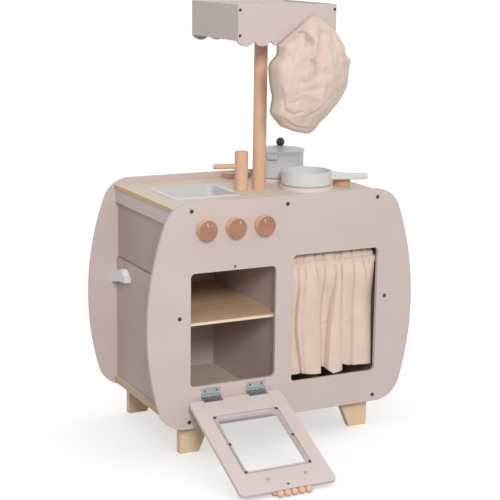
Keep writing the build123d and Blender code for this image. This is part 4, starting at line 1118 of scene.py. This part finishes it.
# Heading, run and start of each set of crumples.
crumples = ((0.5, 46 * mm, 0.9), (1.9, 34 * mm, 2.2), (2.7, 60 * mm, 4.0))
crumple_spread = 1.8
crumple_bend = 1.2
fold_fade = 0.5
row_crowding = 0.04
oval_power = 0.92
crest_shift = 0.72
left_squareness = 0.46
right_squareness = 1.15
squareness_turn = 0.35 * pi, 0.75 * pi
least_depth = 1.0 * mm
slit_half = 9 * mm
slit_foot = 838 * mm
slit_room = 2 * mm
slit_depth = 0.5 * mm
print("hat of", len(hat_levels), "levels and", len(hat_folds), "folds, back at y", round(hat_back, 4))

# %% [markdown]
# ## The hat's folds
# Beside a fold's line the cloth rises or sinks by a height of its own on either side and dies away: equal
# heights make a crease, unequal ones a layer over a layer. Faint crossed waves crumple the rest, and one
# round of averaging takes the harshness off. The back has a slit for the peg.


# %% Helpers for the hat
def smooth_line(place, places, values):
    """Smooth curve through values at places: cubic pieces with the slopes of the neighbours' chords."""
    slope = np.gradient(values, places)
    i = np.clip(np.searchsorted(places, place) - 1, 0, len(places) - 2)
    run = places[i + 1] - places[i]
    t = (place - places[i]) / run
    start, end = values[i] * (1 + 2 * t) * (1 - t) ** 2, values[i + 1] * t * t * (3 - 2 * t)
    return start + end + slope[i] * run * t * (1 - t) ** 2 + slope[i + 1] * run * t * t * (t - 1)


def hat_fold(x, z, line, left, left_reach, right, right_reach):
    """Lift beside a bent line: each side's height dies away by its reach, and both fade at the ends."""
    signed, place = beside_line(x, z, np.array(line) * mm)
    side = (1 + np.tanh(signed / fold_edge)) / 2
    leftward = left * np.exp(-np.abs(signed) / (left_reach * mm))
    rightward = right * np.exp(-np.abs(signed) / (right_reach * mm))
    fade = ease(np.minimum(place, 1 - place), 0, fold_end)
    return mm * fade * (rightward + side * (leftward - rightward))


def crumple(x, z):
    """Faint cross folds: three sets of sharp-topped waves, each bent by a slower one."""
    total = 0
    for heading, run, start in crumples:
        along = (x * cos(heading) + z * sin(heading)) / run
        beside = (z * cos(heading) - x * sin(heading)) / (crumple_spread * run)
        total = total + 0.5 - np.abs(np.sin(pi * along + crumple_bend * np.sin(tau * beside + start)))
    return total


def softened(values):
    """Each value averaged with its four neighbours, the edges kept."""
    padded = np.pad(values, 1, mode="edge")
    return (values + padded[:-2, 1:-1] + padded[2:, 1:-1] + padded[1:-1, :-2] + padded[1:-1, 2:]) / 5


print("helpers for the hat ready")


# %% Make the hat
def hat_grid():
    """Rows go from the crown down, columns round each level: a half oval in front and a flat back."""
    share = np.linspace(0, 1, hat_rows)[:, None]
    level_z, *level_values = hat_levels.T
    z = level_z[-1] + (level_z[0] - level_z[-1]) * (share - row_crowding * np.sin(tau * share))
    angle = np.concatenate([np.linspace(0, pi, hat_front_columns, endpoint=False),
                            np.linspace(pi, tau, hat_back_columns, endpoint=False)])[None, :]
    left_side, right_side, deep = (smooth_line(z, level_z, values) for values in level_values)
    oval = np.sign(np.cos(angle)) * np.abs(np.cos(angle)) ** oval_power
    x = (left_side + right_side) / 2 - (right_side - left_side) / 2 * oval
    z = z + 0 * angle
    front_share = np.clip(np.sin(pi * np.clip(angle / pi, 0, 1) ** crest_shift), 0, None)
    lift = sum(hat_fold(x, z, *fold) for fold in hat_folds) + crumple_height * crumple(x, z)
    rightness = ease(angle, *squareness_turn)
    squareness = left_squareness + (right_squareness - left_squareness) * rightness
    y = hat_back - deep * front_share**squareness - softened(lift) * front_share**fold_fade
    y = np.where(np.sin(angle) < 0, hat_back + 0 * z, np.minimum(y, hat_back - least_depth * front_share))
    return np.stack([x, y, z], axis=-1)


def in_slit(middles):
    """The slit in the back that the peg goes through, and the cloth below it that slides over the peg."""
    beside = np.abs(middles[:, 0] - (peg_low.x + peg_high.x) / 2) < slit_half
    tall = (middles[:, 2] > slit_foot) & (middles[:, 2] < peg_high.z + slit_room)
    return beside & tall & (middles[:, 1] > hat_back - slit_depth)


hat_points = hat_grid()
around = np.linalg.norm(np.diff(hat_points, axis=1, append=hat_points[:, :1]), axis=2)
down = np.linalg.norm(np.diff(hat_points, axis=0), axis=2)
ring = np.concatenate([[0], np.cumsum(around.mean(axis=0))[:-1]])
slope_along = np.concatenate([[0], np.cumsum(down.mean(axis=1))])
hat_uv = np.stack(np.meshgrid(ring, slope_along), axis=-1)
hat = grid_piece("cook_hat", hat_points[None], hat_cotton, "hat", True, hat_uv[None], in_slit)
hat_cloth = hat.modifiers.new("cloth", "SOLIDIFY")
hat_cloth.thickness = hat_thickness
hat_cloth.offset = -1
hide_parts("hat")

# %% [markdown]
# ## The bead handle's cord
# A thin cotton cord is knotted inside the door, comes out through two holes, droops over the edge and carries
# five beads. A free cord is one smooth curve, so the route's few points steer a NURBS spline;
# the knots are small overhand knots, a tube along a trefoil curve.

# %% Make the cord and its knots
cord_radius = 1.5 * mm
handle_shift = 7.0 * mm
hole_side, hole_along = 43.0, 259.0
bead_spacing, bead_along, bead_out = 16.2, 299.0, 6.0
knot_size, knot_strand, knot_out = 2.4 * mm, 1.2 * mm, 0.4 * mm
# Half of the route in millimetres: across, along and outward on the door.
cord_half = [
    (hole_side, hole_along, -1.0), (hole_side, hole_along, 6.9), (hole_side, hole_along, 11.4),
    (43.4, 264.0, 15.2), (44.0, 275.0, 16.6), (44.6, 286.0, 16.0), (44.4, 293.5, 12.8), (41.6, 298.2, 8.0),
]
bead_row = [(bead_spacing * i, bead_along, bead_out) for i in (2, 1, 0, -1, -2)]
cord_route = np.array(cord_half + bead_row + [(-x, along, out) for x, along, out in reversed(cord_half)]) * mm
cord_points = on_door(cord_route + np.array((handle_shift, 0, 0)))

cord_curve = bpy.data.curves.new("bead_cord", "CURVE")
cord_curve.dimensions = "3D"
cord_curve.bevel_depth = cord_radius
cord_curve.bevel_resolution = 4
cord_curve.resolution_u = 12
cord_curve.use_fill_caps = True
cord_line = cord_curve.splines.new("NURBS")
cord_line.points.add(len(cord_points) - 1)
cord_line.points.foreach_set("co", np.column_stack([cord_points, np.ones(len(cord_points))]).reshape(-1))
cord_line.order_u = 3
cord_line.use_endpoint_u = True
cord_curve.materials.append(twine)
bead_cord = added(bpy.data.objects.new("bead_cord", cord_curve), "oven_door")
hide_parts("handle_cord")


def knot_tube(size, thickness):
    """Tube along a trefoil: a ring that winds twice round while it waves three times in and up."""
    turn = np.linspace(0, tau, 96, endpoint=False)
    wave = 2 + np.cos(3 * turn)
    line = np.stack([wave * np.cos(2 * turn), wave * np.sin(2 * turn), np.sin(3 * turn)], axis=-1) * size / 3
    ahead = np.roll(line, -1, axis=0) - np.roll(line, 1, axis=0)
    ahead /= np.linalg.norm(ahead, axis=1, keepdims=True)
    side = np.cross(ahead, (0, 0, 1))
    side /= np.linalg.norm(side, axis=1, keepdims=True)
    above = np.cross(side, ahead)
    angle = np.linspace(0, tau, 13)[:, None, None]
    return line + thickness * (np.cos(angle) * side + np.sin(angle) * above)


knot_sides = -hole_side * mm, hole_side * mm
knot_places = on_door([(handle_shift + side, hole_along * mm, knot_out) for side in knot_sides])
knot_grids = placed(knot_tube(knot_size, knot_strand), knot_places, inward, sideways)
grid_piece("cord_knots", knot_grids, pale_twine, "oven_door", True)
print("cord of", len(cord_points), "points, knots", len(knot_places))
